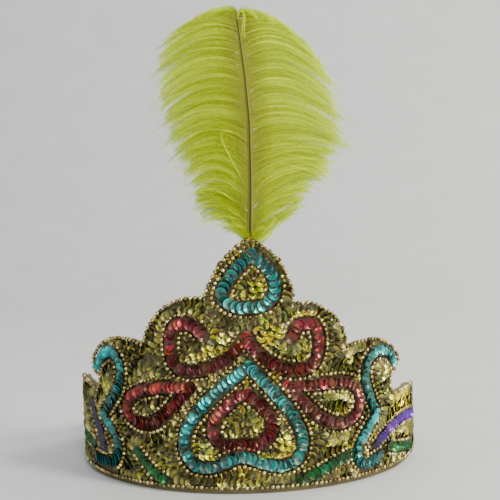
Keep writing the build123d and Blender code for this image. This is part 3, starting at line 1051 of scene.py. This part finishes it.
    def uneven_tones(self, count: int, run: int = 3) -> Array:
        """Random shares in which a few neighbours are bright or dark together.

        Args:
            count: how many are wanted.
            run: how many neighbours go together.

        Returns:
            The shares, from 0 to 1, more of them low than high.
        """
        coarse = np.interp(np.arange(count) / run, np.arange(count + 1), self.chance.random(count + 1))
        single = self.single_tone_spread * self.chance.random(count) ** self.single_dulling
        return np.clip(self.run_tone_spread * coarse**self.run_dulling + single, 0.0, 1.0)

    def room_left(self, places: Array, squeeze: float = 0.0) -> Array:
        """How far places lie inside the field that is left to the gold sequins.

        Args:
            places: the places, round and up.
            squeeze: how much nearer to the rows they may lie, under the strings of beads.

        Returns:
            The distances, in millimetres, below 0 outside the field.
        """
        left = np.minimum(self.wall.edge_near.distances(places) - self.edge_keep_off + squeeze / 4,
                          places[:, 1] - self.bottom_string_height - self.edge_keep_off)
        for node, near in self.near.items():
            beyond = near.distances(places) - self.reach[node] - self.ground_keep_off + squeeze
            left = np.minimum(left, beyond)
        return np.where(inside(places, self.wall.fence), left, -1.0)

    def contour_lines(self) -> list[tuple[float, Array]]:
        """Lines that follow the rows, the edge and the bottom string, row by row further in.

        Returns:
            How far in each line lies, and its points.
        """
        sources = [(self.lines[row.node], row.closed, row.reach + self.ground_keep_off) for row in ROWS]
        sources.append((self.wall.edge, True, self.edge_keep_off))
        sources.append((self.wall.level(self.bottom_string_height), True, self.edge_keep_off))
        found = []
        for line, closed, keep_off in sources:
            ways = headings(line)
            for step in range(self.ground_rows):
                reach = keep_off + self.ground_row * step
                across = crosswise(ways) * reach
                rims = [line + across, (line - across)[::-1]]
                if not closed:
                    bow = np.linspace(0.0, pi, ceil(pi * reach / self.wall.line_step))[:, None]
                    for place, way in ((line[-1], ways[-1]), (line[0], -ways[0])):
                        left = crosswise(way[None])[0]
                        rims.append(place + reach * (np.cos(bow) * left + np.sin(bow) * way))
                found += [(self.ground_row * step, rim) for rim in rims]
        return sorted(found, key=lambda contour: contour[0])

    def ground_places(self) -> tuple[Array, Array]:
        """Where the gold sequins lie: in chains along the contours, and singly in what is left.

        Returns:
            Their places on the wall and their directions.
        """
        room = Room(self.ground_pitch)
        places: list[Array] = []
        ways: list[Array] = []
        for depth, rim in self.contour_lines():
            left = self.room_left(rim)
            good = (np.abs(left - depth) < self.chain_slack) & (left > -self.ground_slack)
            for spot, way in zip(rim[good], headings(rim)[good]):
                if room.take(spot, self.ground_pitch - self.ground_slack):
                    places.append(spot)
                    ways.append(way)
        chains = np.array(places)
        half = self.wall.half_round - 1.0
        around, up = np.meshgrid(np.arange(-half, half, self.spare_step),
                                 np.arange(5.0, self.wall.front_height, self.spare_step))
        spare = np.stack([around.ravel(), up.ravel()], axis=1)
        spare = spare + self.chance.uniform(-self.spare_stray, self.spare_stray, spare.shape)
        for spot in spare[self.room_left(spare, self.ground_squeeze) > -self.chain_slack]:
            if room.take(spot, self.ground_pitch - self.spare_slack):
                places.append(spot)
                ways.append(ways[np.argmin(np.sum((chains - spot) ** 2, axis=1))])
        return np.array(places), np.array(ways)

    def gleams(self, spots: Array) -> Array:
        """How much brighter some sequins are painted, as a painted highlight of the light they catch.

        Args:
            spots: where the sequins lie, round and up.

        Returns:
            What it adds to the tone of each.
        """
        found = np.zeros(len(spots))
        for across, up, reach, gain in GLINTS:
            apart = np.linalg.norm(spots - self.wall.charted((across, up)), axis=1)
            bright = self.gleam_power * gain * np.exp(-((apart / reach) ** 2))
            found += bright * self.chance.uniform(*self.gleam_range, len(spots))
        return found

    def sewn_ground(self, finish: Finish) -> None:
        """Covers the rest of the wall with gold sequins, of which some turn towards the light.

        Args:
            finish: the sequins' material.
        """
        lean = (self.ground_tilt, self.ground_roll, self.ground_lift)
        spots, ways, tilts, rolls, lift = self.unevenly_sewn(
            *self.ground_places(), lean, self.GROUND_UNEVENNESS)
        lift -= self.squeezed_drop * np.clip(-self.room_left(spots), 0.0, 1.0)
        around, up = spots.T
        patches = self.PATCHES[0].height(around, up) * self.PATCHES[1].height(up, around)
        tones = self.ground_tone_spread * self.chance.random(len(spots)) ** self.ground_dulling
        gleams = self.gleams(spots)
        # The gleams are painted highlights added to the tones; the strongest sequins are also turned towards
        # the light below.
        tones = np.clip(self.ground_tone + tones + self.patch_tone * patches + gleams, 0.0, self.brightest)
        loose = gleams > self.gleam
        ways[loose] = (0.0, 1.0)
        tilts[loose] = self.gleam_lean
        rolls[loose] = np.clip(self.gleam_lean - spots[loose, 0] / self.wall.ring_radius,
                               -self.gleam_roll, self.gleam_roll)
        turns = self.wall.turns(spots, ways, tilts, rolls)
        points = self.wall.points(spots, lift)
        front = np.abs(spots[:, 0]) < self.front_reach
        for name, part in (("gold_ground_front", front), ("gold_ground_back", ~front)):
            piece = self.ground_sequin.copied(name, points[part], turns[part], tones[part])
            dressed(piece, finish, "sequin_ground")

    def build(self) -> None:
        """Sews the edge strings, the rows and the ground, in the order in which they hold each other."""
        foils = {foil.hue: foil.made() for foil in self.FOILS}
        for place, line in (("top", self.wall.edge), ("bottom", self.wall.level(self.bottom_string_height))):
            self.sewn_string(f"{place}_edge_string", f"{place}_edge_beads", [line], self.edge_bead_lift)
        for row in ROWS:
            self.sewn_row(row, foils[row.hue])
        self.sewn_ground(foils[Hue.GOLD])


@dataclass
class Crown:
    """The cloth parts that the sequins are sewn to. Sizes are in millimetres."""

    wall: Wall
    strip: float = 2.5
    wall_thickness: float = 2.0
    lining_radius: float = 85.3
    lining_thickness: float = 1.0
    lining_rise: float = 1.2
    lining_rise_from: float = 88.0
    rim_rounding: float = 0.3
    hem: float = 5.0
    pucker: float = 0.3
    stitch_pitch: float = 3.6
    stitch_sides: int = 6
    stitch_radius: float = 0.28
    stitch_length: float = 2.1
    stitch_lift: float = 0.12
    stitch_turn: float = 0.12
    stitch_inset: float = 0.6
    pocket_seam: float = 5.0
    pocket_seam_foot: float = 2.0
    pocket_seam_head: float = 1.0
    pocket_seam_pitch: float = 0.8
    seed: int = 11

    QUILT = Ripple(length=4.1, sway=1.3, sway_length=7.0)

    # Two corners, on the chart, of the notch at the left that the lining shows through
    COVERED_NOTCH = ((-100.5, 43.0), (-88.0, 53.7))

    def __post_init__(self) -> None:
        """Models one stitch."""
        self.chance = np.random.default_rng(self.seed)
        self.stitch = self.modelled_stitch()

    def modelled_stitch(self) -> Pattern:
        """One stitch of thread along X, its ends rounded off."""
        stitch = added("stitch", bpy.ops.mesh.primitive_cylinder_add, vertices=self.stitch_sides,
                       radius=self.stitch_radius * MM, depth=self.stitch_length * MM,
                       rotation=(0.0, pi / 2, 0.0))
        apply_modifier(stitch, "BEVEL", width=self.stitch_radius / 2 * MM, segments=1, limit_method="ANGLE",
                       angle_limit=radians(70))
        return Pattern.taken_from(stitch, smooth=True)

    def lining_outline(self) -> Array:
        """The lining's outline.

        Returns:
            Its points. It stands above the band's edge at the right and passes straight behind one notch.
        """
        outline = self.wall.fence.copy()
        low, high = self.wall.charted(self.COVERED_NOTCH)
        outline = outline[~np.all((outline > low) & (outline < high), axis=1)]
        beside = np.clip((outline[:, 0] - self.lining_rise_from) / self.hem, 0.0, 1.0)
        outline[:, 1] += self.lining_rise * beside * (outline[:, 1] > self.hem)
        return outline

    def flat_panel(self, name: str, outline: Array) -> Piece:
        """Cuts an outline out flat and divides it into narrow upright strips.

        Args:
            name: the plain name of the piece.
            outline: its points, round the wall and up it.

        Returns:
            The flat panel: round the wall along X and up it along Y, in millimetres.
        """
        corners = np.concatenate([outline, np.zeros((len(outline), 1))], axis=1)
        panel = new_piece(name, corners, [tuple(range(len(corners)))])
        half, top = self.wall.half_round, self.wall.front_height - self.strip
        cuts = [((around, 0.0, 0.0), (1.0, 0.0, 0.0))
                for around in np.arange(-half + self.strip, half, self.strip)]
        cuts += [((0.0, height, 0.0), (0.0, 1.0, 0.0)) for height in np.arange(self.hem, top, self.hem)]
        with editing(panel):
            for place, way in cuts:
                bpy.ops.mesh.select_all(action="SELECT")
                bpy.ops.mesh.bisect(plane_co=place, plane_no=way)
        return panel

    def wrapped(self, panel: Piece, radius: float, thickness: float, pucker: float = 0.0) -> None:
        """Bends a flat panel round the ring, joins its ends and gives it its thickness.

        Args:
            panel: the flat panel.
            radius: the radius of its outer face.
            thickness: its thickness, inwards.
            pucker: how far it puckers inwards at most.
        """
        flat = points_of(panel.data)[:, :2]
        quilt = 0.5 + 0.5 * self.QUILT.height(*flat.T)
        inwards = pucker * quilt * np.clip(self.wall.edge_near.distances(flat) / self.hem, 0.15, 1.0)
        points = self.wall.points(flat, radius - inwards - self.wall.ring_radius)
        panel.data.vertices.foreach_set("co", points.ravel())
        with editing(panel):
            bpy.ops.mesh.remove_doubles(threshold=0.05 * MM)
        apply_modifier(panel, "SOLIDIFY", thickness=thickness * MM, offset=-1.0)
        apply_modifier(panel, "BEVEL", width=self.rim_rounding * thickness / 2 * MM, segments=2,
                       limit_method="ANGLE", angle_limit=radians(60), use_clamp_overlap=False)
        panel.data.shade_smooth()

    def hem_stitches(self) -> tuple[Array, Array]:
        """Sews along the lining's two hems.

        Returns:
            The points and the axes of the stitches.
        """
        edge = resampled(self.wall.edge, self.stitch_pitch)
        way = headings(edge)
        inset = self.hem * self.stitch_inset
        top = edge + crosswise(way) * inset
        fits = (self.wall.edge_near.distances(top) > self.hem / 2) & inside(top, self.wall.fence)
        rim = resampled(self.wall.level(inset), self.stitch_pitch)
        places = np.concatenate([top[fits], rim])
        turned = self.chance.normal(0.0, self.stitch_turn, len(places))
        ways = swung(np.concatenate([way[fits], headings(rim)]), turned)
        lift = self.lining_radius - self.lining_thickness - self.stitch_lift - self.wall.ring_radius
        return self.wall.points(places, lift), self.wall.turns(places, ways, 0.0, 0.0)

    def sewn_seam(self, name: str, node: str, points: Array, turns: Array, thread: Finish) -> None:
        """Sews stitches.

        Args:
            name: the plain name of the piece.
            node: the solid that it replaces.
            points: where each stitch lies, in metres.
            turns: the axes of each stitch.
            thread: their material.
        """
        piece = self.stitch.copied(name, points, turns, self.chance.random(len(points)))
        dressed(piece, thread, node)

    def pocket(self, finish: Finish, thread: Finish) -> None:
        """Makes the quill's cloth pocket with its softened edges, and the stitches down its sides.

        Args:
            finish: the cloth's material.
            thread: the stitches' material.
        """
        pocket = bpy.data.objects.new("quill_sleeve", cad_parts["quill_pocket"].data.copy())
        pocket.data.name = "quill_sleeve"
        bpy.context.scene.collection.objects.link(pocket)
        with editing(pocket):
            bpy.ops.mesh.remove_doubles(threshold=0.01 * MM)
            bpy.ops.mesh.dissolve_limited(angle_limit=radians(1.0))
        apply_modifier(pocket, "BEVEL", width=self.rim_rounding * MM, segments=3, limit_method="ANGLE",
                       angle_limit=radians(50))
        bpy.ops.object.shade_smooth_by_angle(angle=radians(35))
        dressed(pocket, finish, "quill_pocket")
        low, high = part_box("quill_pocket")
        middle = (low[0] + high[0]) / 2
        rise = np.arange(low[2] / MM + self.pocket_seam_foot, high[2] / MM - self.pocket_seam_head,
                         self.stitch_pitch * self.pocket_seam_pitch)
        points = np.array([(middle + side * self.pocket_seam * MM, high[1], height * MM)
                           for side in (-1, 1) for height in rise])
        upright = np.array([[0.0, 1.0, 0.0], [0.0, 0.0, 1.0], [1.0, 0.0, 0.0]])
        turns = np.repeat(upright[None], len(points), axis=0)
        self.sewn_seam("quill_sleeve_stitches", "quill_pocket", points, turns, thread)

    def build(self) -> None:
        """Makes the wall, the lining with its hems, and the quill's pocket."""
        gold, cotton, thread = GOLD_LAME.made(), COTTON.made(), THREAD.made()
        wall = self.flat_panel("crown_cloth", self.wall.fence)
        cut = self.lining_outline()
        lining = self.flat_panel("crown_lining_cloth", cut)
        self.wrapped(wall, self.wall.ring_radius, self.wall_thickness)
        dressed(wall, gold, "crown_wall")
        self.wrapped(lining, self.lining_radius, self.lining_thickness, self.pucker)
        dressed(lining, cotton, "crown_lining")
        self.sewn_seam("lining_stitches", "crown_lining", *self.hem_stitches(), thread)
        self.pocket(cotton, thread)


@dataclass
class Plume:
    """The ostrich plume behind the crown's point. Lengths are in millimetres, shares of its own sizes."""

    length: float = 109.5
    half_width: float = 48.0
    vane_foot: float = 121.3
    shaft_foot_radius: float = 1.6
    shaft_tip_radius: float = 0.6
    shaft_sides: int = 16
    shaft_steps: int = 40
    groove_from: float = 0.88
    groove_depth: float = 0.35
    barbs: int = 800
    clumps: int = 38
    clump_pull: float = 0.22
    clump_shift: tuple[float, float, float] = (1.4, 1.2, 1.3)
    root_depth: float = 0.35
    via_depth: float = 1.6
    tip_depth: float = 3.0
    droop: float = 2.0
    joints: int = 15
    barb_breadth: float = 0.38
    barb_taper: float = 0.8
    first_root: float = -0.03
    last_root: float = 0.968
    low_part: float = 0.3
    stragglers: float = 0.14
    barbules: int = 72
    barbule_length: float = 3.2
    barbule_sizes: tuple[float, float] = (0.5, 1.2)
    barbule_breadth: float = 0.19
    barbule_places: tuple[float, float] = (0.09, 0.995)
    barbule_lean: tuple[float, float] = (0.75, 1.5)
    barbule_aside: float = 0.75
    barbule_depth: float = 0.45
    strands: int = 2
    strand_spread: float = 0.8
    stray_depths: tuple[float, float] = (2.2, 3.2)
    stray_highlight_tones: tuple[float, float] = (0.6, 0.8)
    stray_fuzz: float = 0.35
    seed: int = 23
    shaft_y: float = field(init=False)

    # The shaft's line: up (share of the length), across (share of the half width)
    SHAFT_LINE = ((-0.43, 0.066), (0.0, 0.070), (0.25, 0.090), (0.50, 0.092), (0.70, 0.062), (0.94, 0.000))

    # Middle lines of the barbs from the foot up: root up, then across and up at half way, and at the tip
    SPREADS = {
        Side.RIGHT: (
            (-0.030, 0.13, 0.022, 0.20, 0.068), (-0.004, 0.20, 0.020, 0.35, 0.045),
            (0.007, 0.28, 0.058, 0.53, 0.092), (0.025, 0.32, 0.095, 0.61, 0.135),
            (0.055, 0.35, 0.151, 0.61, 0.170), (0.098, 0.40, 0.194, 0.71, 0.212),
            (0.141, 0.43, 0.250, 0.83, 0.258), (0.193, 0.43, 0.301, 0.89, 0.296),
            (0.262, 0.45, 0.344, 0.91, 0.334), (0.331, 0.47, 0.378, 0.93, 0.364),
            (0.391, 0.49, 0.434, 0.97, 0.398), (0.464, 0.49, 0.507, 1.00, 0.424),
            (0.541, 0.49, 0.579, 1.02, 0.466), (0.614, 0.48, 0.652, 1.01, 0.522),
            (0.687, 0.47, 0.725, 1.00, 0.582), (0.759, 0.45, 0.801, 0.95, 0.651),
            (0.827, 0.42, 0.865, 0.87, 0.724), (0.887, 0.37, 0.912, 0.73, 0.804),
            (0.930, 0.30, 0.945, 0.56, 0.880), (0.955, 0.19, 0.965, 0.34, 0.948),
            (0.968, 0.08, 0.978, 0.16, 0.970),
        ),
        Side.LEFT: (
            (-0.030, 0.03, 0.020, -0.04, 0.070), (-0.004, -0.02, 0.036, -0.10, 0.078),
            (0.007, -0.08, 0.076, -0.22, 0.100), (0.029, -0.14, 0.115, -0.36, 0.110),
            (0.059, -0.18, 0.157, -0.44, 0.140), (0.107, -0.19, 0.201, -0.41, 0.173),
            (0.154, -0.19, 0.265, -0.51, 0.243), (0.211, -0.20, 0.330, -0.53, 0.291),
            (0.275, -0.21, 0.378, -0.56, 0.330), (0.348, -0.25, 0.421, -0.63, 0.365),
            (0.421, -0.27, 0.486, -0.67, 0.413), (0.494, -0.30, 0.550, -0.73, 0.461),
            (0.567, -0.32, 0.614, -0.77, 0.517), (0.640, -0.34, 0.683, -0.79, 0.577),
            (0.708, -0.35, 0.747, -0.80, 0.641), (0.776, -0.35, 0.806, -0.82, 0.710),
            (0.840, -0.35, 0.870, -0.81, 0.776), (0.892, -0.33, 0.922, -0.76, 0.848),
            (0.928, -0.28, 0.958, -0.60, 0.908), (0.955, -0.15, 0.980, -0.34, 0.965),
            (0.968, -0.05, 0.988, -0.15, 0.984),
        ),
    }

    # Long barbs that cross in front of each side, from their roots: shares across and up at each place
    STRAYS = {
        Side.RIGHT: (
            ((0.208, 0.338), (0.532, 0.309), (0.844, 0.253)),
            ((0.379, 0.224), (0.499, 0.249), (0.628, 0.269)),
            ((0.377, 0.194), (0.507, 0.210), (0.636, 0.226)),
            ((0.289, 0.372), (0.622, 0.338), (0.886, 0.313)),
            ((0.010, 0.920), (0.014, 0.978), (0.080, 0.968), (0.058, 0.860)),
        ),
        Side.LEFT: (
            ((0.063, 0.211), (-0.087, 0.342), (-0.206, 0.468), (-0.069, 0.466)),
            ((0.051, 0.012), (-0.162, 0.084), (-0.429, 0.078)),
            ((0.035, 0.073), (-0.200, 0.114), (-0.460, 0.070)),
            ((-0.020, 0.147), (-0.252, 0.227), (-0.410, 0.216)),
        ),
    }
    # Painted light and shade: the right side's barbs are painted lighter and the left side's darker, as the
    # light falls from the right.
    SIDE_LIGHT_AND_SHADE = {Side.RIGHT: 0.14, Side.LEFT: -0.06}

    def __post_init__(self) -> None:
        """Reads the plume's place from the frame."""
        low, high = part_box("plume_shaft")
        self.shaft_y = (low[1] + high[1]) / 2 / MM
        self.chance = np.random.default_rng(self.seed)

    def shaft_across(self, up: Array) -> Array:
        """Where the shaft stands across, in millimetres, at shares up the vane."""
        return np.interp(up, *np.array(self.SHAFT_LINE).T) * self.half_width

    def barb_lines(self, side: Side) -> tuple[Array, Array]:
        """The middle lines of one side's barbs: they hang together in clumps and droop at their tips.

        Args:
            side: which side of the shaft.

        Returns:
            The points of each barb, and its tone.
        """
        chance, count = self.chance, self.barbs
        rank = (np.arange(count) + chance.uniform(0.0, 1.0, count)) / count
        rooted = self.last_root - self.first_root
        roots = self.first_root + rooted * rank
        borders = np.concatenate([[0.0], np.sort(chance.uniform(0.0, 1.0, self.clumps - 1)), [1.0]])
        clump = np.searchsorted(borders[1:-1], rank)
        middle = self.first_root + rooted * (borders[clump] + borders[clump + 1]) / 2
        pulled = roots + (middle - roots) * self.clump_pull
        place, via_across, via_up, tip_across, tip_up = np.array(self.SPREADS[side]).T
        nought = np.zeros(count)
        via = np.stack([np.interp(roots, place, via_across) * self.half_width, nought,
                        np.interp(roots, place, via_up) * self.length], axis=1)
        tip = np.stack([np.interp(pulled, place, tip_across) * self.half_width, nought,
                        np.interp(pulled, place, tip_up) * self.length], axis=1)
        root = np.stack([self.shaft_across(roots), nought, roots * self.length], axis=1)
        layer = chance.uniform(-1.0, 1.0, count)
        root[:, 1] = self.root_depth * layer
        via[:, 1] = self.via_depth * layer + chance.normal(0.0, 0.5, count)
        tip[:, 1] = self.tip_depth * layer + chance.normal(0.0, 1.2, count)
        low = np.clip(1.0 - roots / self.low_part, 0.0, 1.0)
        loose = 0.6 + 1.6 * low
        shift = chance.normal(0.0, 1.0, (self.clumps, 3))[clump] * self.clump_shift
        tip += shift * (0.4 + 0.9 * low[:, None])
        tip[:, 2] += chance.normal(0.0, 1.3, count) * loose
        via[:, 2] += chance.normal(0.0, 0.7, count) * loose
        bend = 2 * via - (root + tip) / 2
        reach = 1.0 - np.abs(chance.normal(0.0, 0.08, count)) - 0.05 * chance.random(self.clumps)[clump]
        reach += np.where(chance.random(count) < self.stragglers, chance.uniform(0.04, 0.14, count), 0.0)
        share = np.linspace(0.0, 1.0, self.joints)[None, :, None] * reach[:, None, None]
        lines = (root[:, None] * (1 - share) ** 2 + bend[:, None] * 2 * share * (1 - share)
                 + tip[:, None] * share**2)
        phase = chance.uniform(0, tau, (count, 1, 1))
        lines[:, :, 2:] += np.sin(share * 8.0 + phase) * share * 0.45
        lines[:, :, 1:2] += np.cos(share * 7.0 + phase) * share * 0.7
        droop = self.droop - 1.2 * low[:, None, None]
        lines[:, :, 2:] -= droop * np.abs(chance.normal(0.0, 1.0, (count, 1, 1))) * share**4
        tones = 0.25 + 0.5 * chance.random(count) ** 1.5 + 0.06 * chance.random(self.clumps)[clump]
        # Painted light on the right side and painted shade on the left, added to each barb's tone.
        tones += self.SIDE_LIGHT_AND_SHADE[side] + 0.16 * (roots - 0.5)
        strays = self.stray_lines(side)
        # Painted highlight: the long barbs in front, the curl at the shaft's tip among them, get brighter
        # tones than the vane.
        bright = chance.uniform(*self.stray_highlight_tones, len(strays))
        return np.concatenate([lines, strays]), np.concatenate([tones, bright])

    def stray_lines(self, side: Side) -> Array:
        """The middle lines of the long barbs in front of one side, a few strands close together each.

        Args:
            side: which side of the shaft.

        Returns:
            The points of each strand.
        """
        share = np.linspace(0.0, 1.0, self.joints)[:, None]
        found = []
        for corners in self.STRAYS[side]:
            line = smooth_line(np.array(corners) * [self.half_width, self.length], False, 0.5, pi)
            line = resampled(line, np.linalg.norm(np.diff(line, axis=0), axis=1).sum() / (self.joints - 1))
            for _ in range(self.strands):
                line = line + share * self.chance.normal(0.0, self.strand_spread, 2)
                ahead = np.full(self.joints, -self.chance.uniform(*self.stray_depths))
                found.append(np.stack([line[:, 0], ahead * share[:, 0] ** 0.3, line[:, 1]], axis=1))
        return np.array(found)

    def vane(self, side: Side, finish: Finish) -> None:
        """Makes one side of the vane: flat tapering barbs with fine barbules on both edges.

        Args:
            side: which side of the shaft.
            finish: the barbs' material.
        """
        lines, tones = self.barb_lines(side)
        count, joints = lines.shape[:2]
        along = np.gradient(lines, axis=1)
        along /= np.linalg.norm(along, axis=2, keepdims=True)
        edge = np.cross(along, np.array([0.0, -1.0, 0.0]))
        edge /= np.maximum(np.linalg.norm(edge, axis=2, keepdims=True), 1e-6)
        share = np.linspace(0.0, 1.0, joints)
        breadth = self.barb_breadth * (1.0 - self.barb_taper * share**0.7)[None, :, None] / 2
        ribbon = np.stack([lines - edge * breadth, lines + edge * breadth], axis=2).reshape(-1, 3)
        start = (np.arange(count)[:, None] * joints + np.arange(joints - 1)[None, :]).reshape(-1) * 2
        quads = np.stack([start, start + 1, start + 3, start + 2], axis=1)

        sprigs = self.barbules * 2
        place = np.tile(np.linspace(*self.barbule_places, self.barbules), 2)
        place = np.clip(place + self.chance.normal(0.0, 0.008, (count, sprigs)), 0.0, 0.999)
        low = np.floor(place * (joints - 1)).astype(int)
        part = (place * (joints - 1) - low)[..., None]
        rank = np.arange(count)[:, None]
        foot = lines[rank, low] * (1 - part) + lines[rank, low + 1] * part
        ahead = along[rank, low]
        aside = edge[rank, low] * np.where(np.arange(sprigs) < self.barbules, -1.0, 1.0)[None, :, None]
        depth = np.array([0.0, 1.0, 0.0]) * self.chance.normal(0.0, self.barbule_depth, (count, sprigs, 1))
        lean = self.chance.uniform(*self.barbule_lean, (count, sprigs, 1))
        way = ahead * lean + aside * self.barbule_aside + depth
        way /= np.linalg.norm(way, axis=2, keepdims=True)
        size = self.barbule_length * (1.0 - 0.5 * place**2)
        size *= self.chance.uniform(*self.barbule_sizes, (count, sprigs))
        size *= np.clip(place / 0.2, 0.25, 1.0)
        size[self.barbs:] *= self.stray_fuzz
        half = ahead * self.barbule_breadth / 2
        corners = np.stack([foot - half, foot + half, foot + way * size[..., None]], axis=2).reshape(-1, 3)
        triangles = len(ribbon) + np.arange(len(corners)).reshape(-1, 3)
        spread = self.chance.normal(0.0, 0.07, count * sprigs)
        tone = np.concatenate([np.repeat(tones, joints * 2),
                               np.repeat(np.repeat(tones, sprigs) + spread, 3)])
        span = np.concatenate([np.tile(np.repeat(share, 2), count),
                               np.repeat(np.maximum(place.reshape(-1), 0.1), 3)])
        points = (np.concatenate([ribbon, corners]) + [0.0, self.shaft_y, self.vane_foot]) * MM
        piece = new_piece(f"plume_barbs_{side.value}", points, quads.tolist() + triangles.tolist(),
                          tone=np.clip(tone, 0.0, 1.0), span=span)
        dressed(piece, finish, "plume_vane")

    def rachis(self, finish: Finish) -> None:
        """Makes the shaft: a tapered rod along its line, with a groove down its front that is painted dark
        as its shade.

        Args:
            finish: the horn's material.
        """
        foot_up = (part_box("plume_shaft")[0][2] / MM - self.vane_foot) / self.length
        up = np.linspace(foot_up, self.SHAFT_LINE[-1][0], self.shaft_steps)
        middles = np.stack([self.shaft_across(up), np.full_like(up, self.shaft_y),
                            self.vane_foot + up * self.length], axis=1) * MM
        radii = np.linspace(self.shaft_foot_radius, self.shaft_tip_radius, self.shaft_steps) * MM
        rod = added("plume_rachis", bpy.ops.mesh.primitive_circle_add, vertices=self.shaft_sides,
                    radius=radii[0], fill_type="NGON", location=middles[0])
        with editing(rod):
            for step in range(1, self.shaft_steps):
                shrink = radii[step] / radii[step - 1]
                bpy.ops.mesh.extrude_region_move()
                bpy.ops.transform.translate(value=middles[step] - middles[step - 1])
                bpy.ops.transform.resize(value=(shrink, shrink, 1.0), center_override=middles[step])
            bpy.ops.mesh.select_all(action="SELECT")
            bpy.ops.mesh.normals_make_consistent(inside=False)
        points = points_of(rod.data)
        centre = np.stack([np.interp(points[:, 2], middles[:, 2], middles[:, axis])
                           for axis in (0, 1)], axis=1)
        arm = points[:, :2] - centre
        facing = -arm[:, 1] / np.maximum(np.linalg.norm(arm, axis=1), TINY)
        in_groove = np.clip((facing - self.groove_from) / (1 - self.groove_from), 0.0, 1.0)
        points[:, :2] = centre + arm * (1.0 - self.groove_depth * in_groove[:, None])
        rod.data.vertices.foreach_set("co", points.ravel())
        # Painted shade: the tone falls to 0 in the groove's middle, so the horn's darkest stops show there.
        tone = rod.data.attributes.new("tone", "FLOAT", "POINT")
        tone.data.foreach_set("value", np.float32(1.0 - np.clip(in_groove * 2.0, 0.0, 1.0)))
        rod.data.shade_smooth()
        dressed(rod, finish, "plume_shaft")

    def build(self) -> None:
        """Makes the vane's two sides and the shaft."""
        barbs = Down().made()
        for side in Side:
            self.vane(side, barbs)
        self.rachis(HORN.made())


@dataclass(frozen=True)
class Lamp:
    """A soft square light: where it stands, the length of its side, its power in watts and its colour."""

    name: str
    place: tuple[float, float, float]
    size: float
    power: float
    colour: Colour


@dataclass
class Studio:
    """Floor, backdrop, lights and the camera at the photograph's angle. Lengths are in metres."""

    camera_place: tuple[float, float, float] = (0.0032, -0.620, 0.1536)
    pitch: float = radians(4.0)
    roll: float = radians(-1.54)
    focal_pixels: float = 1138.0
    image_side: float = 500.0
    sensor: float = 36.0
    world_colour: Colour = (0.80, 0.86, 0.92)
    world_strength: float = 0.42
    floor_spread: tuple[float, float] = (6.0, 3.6)
    floor_ahead: float = 0.6
    backdrop_height: float = 2.4
    backdrop_rounding: float = 0.5
    lit_place: tuple[float, float, float] = (0.0, 0.0, 0.1)

    LAMPS = (
        Lamp("key_light", (1.0, -0.8, 1.0), 0.35, 20.0, (1.0, 0.97, 0.90)),
        Lamp("front_light", (0.25, -1.3, 0.75), 0.25, 6.0, (1.0, 0.98, 0.94)),
        Lamp("low_light", (0.8, -1.0, 0.06), 0.3, 6.0, (1.0, 0.98, 0.94)),
        Lamp("fill_light", (-1.2, -0.8, 0.6), 0.7, 3.2, (0.78, 0.89, 1.0)),
        Lamp("rim_light", (1.0, 0.7, 0.9), 0.6, 10.0, (1.0, 0.98, 0.90)),
        Lamp("top_light", (-0.2, 0.3, 1.3), 0.8, 4.0, (1.0, 0.99, 0.95)),
    )

    def camera(self) -> None:
        """Sets the camera."""
        ahead = Vector((0.0, cos(self.pitch), -sin(self.pitch)))
        level = Vector((1.0, 0.0, 0.0))
        up = level.cross(ahead)
        right = level * cos(self.roll) + up * sin(self.roll)
        above = up * cos(self.roll) - level * sin(self.roll)
        data = bpy.data.cameras.new("camera")
        data.sensor_width = self.sensor
        data.lens = self.focal_pixels / self.image_side * self.sensor
        data.clip_start = 0.01
        data.clip_end = 50.0
        camera = bpy.data.objects.new("camera", data)
        turn = Matrix((right, above, -ahead)).transposed().to_4x4()
        camera.matrix_world = Matrix.Translation(self.camera_place) @ turn
        bpy.context.scene.collection.objects.link(camera)
        bpy.context.scene.camera = camera

    def light(self, lamp: Lamp) -> None:
        """Sets a light that points at the crown.

        Args:
            lamp: the light's place, size, power and colour.
        """
        data = bpy.data.lights.new(lamp.name, "AREA")
        data.size = lamp.size
        data.energy = lamp.power
        data.color = lamp.colour
        light = bpy.data.objects.new(lamp.name, data)
        light.location = lamp.place
        aim = Vector(self.lit_place) - Vector(lamp.place)
        light.rotation_euler = aim.to_track_quat("-Z", "Y").to_euler()
        bpy.context.scene.collection.objects.link(light)

    def floor(self) -> None:
        """Lays a pale floor that turns up into a backdrop."""
        sweep = added("floor_sweep", bpy.ops.mesh.primitive_plane_add, size=1.0)
        with editing(sweep):
            bpy.ops.transform.resize(value=(*self.floor_spread, 1.0), center_override=(0.0, 0.0, 0.0))
            bpy.ops.transform.translate(value=(0.0, -self.floor_ahead, 0.0))
        mesh = bmesh.new()
        mesh.from_mesh(sweep.data)
        far = [edge for edge in mesh.edges if all(vert.co.y > 1.0 for vert in edge.verts)]
        raised = bmesh.ops.extrude_edge_only(mesh, edges=far)["geom"]
        bmesh.ops.translate(mesh, vec=(0.0, 0.0, self.backdrop_height),
                            verts=[part for part in raised if isinstance(part, bmesh.types.BMVert)])
        mesh.to_mesh(sweep.data)
        mesh.free()
        apply_modifier(sweep, "BEVEL", width=self.backdrop_rounding, segments=16, limit_method="ANGLE")
        sweep.data.shade_smooth()
        look = Look("pale_floor")
        tone = look.ramp(look.noise(30.0), (0.3, (0.73, 0.74, 0.73)), (0.7, (0.77, 0.78, 0.77)))
        sweep.data.materials.append(look.finished({"Base Color": tone, "Roughness": 0.9}))

    def build(self) -> None:
        """Sets the whole studio."""
        self.floor()
        self.camera()
        world = bpy.data.worlds.new("studio")
        world.use_nodes = True
        background = world.node_tree.nodes["Background"]
        background.inputs["Color"].default_value = (*self.world_colour, 1.0)
        background.inputs["Strength"].default_value = self.world_strength
        bpy.context.scene.world = world
        for lamp in self.LAMPS:
            self.light(lamp)


def main() -> None:
    """Builds the headdress and its studio, piece by piece."""
    logging.basicConfig(level=logging.INFO, format="%(message)s")
    Studio().build()
    wall = Wall()
    Crown(wall).build()
    Embroidery(wall).build()
    Plume().build()


if __name__ == "__main__":
    main()
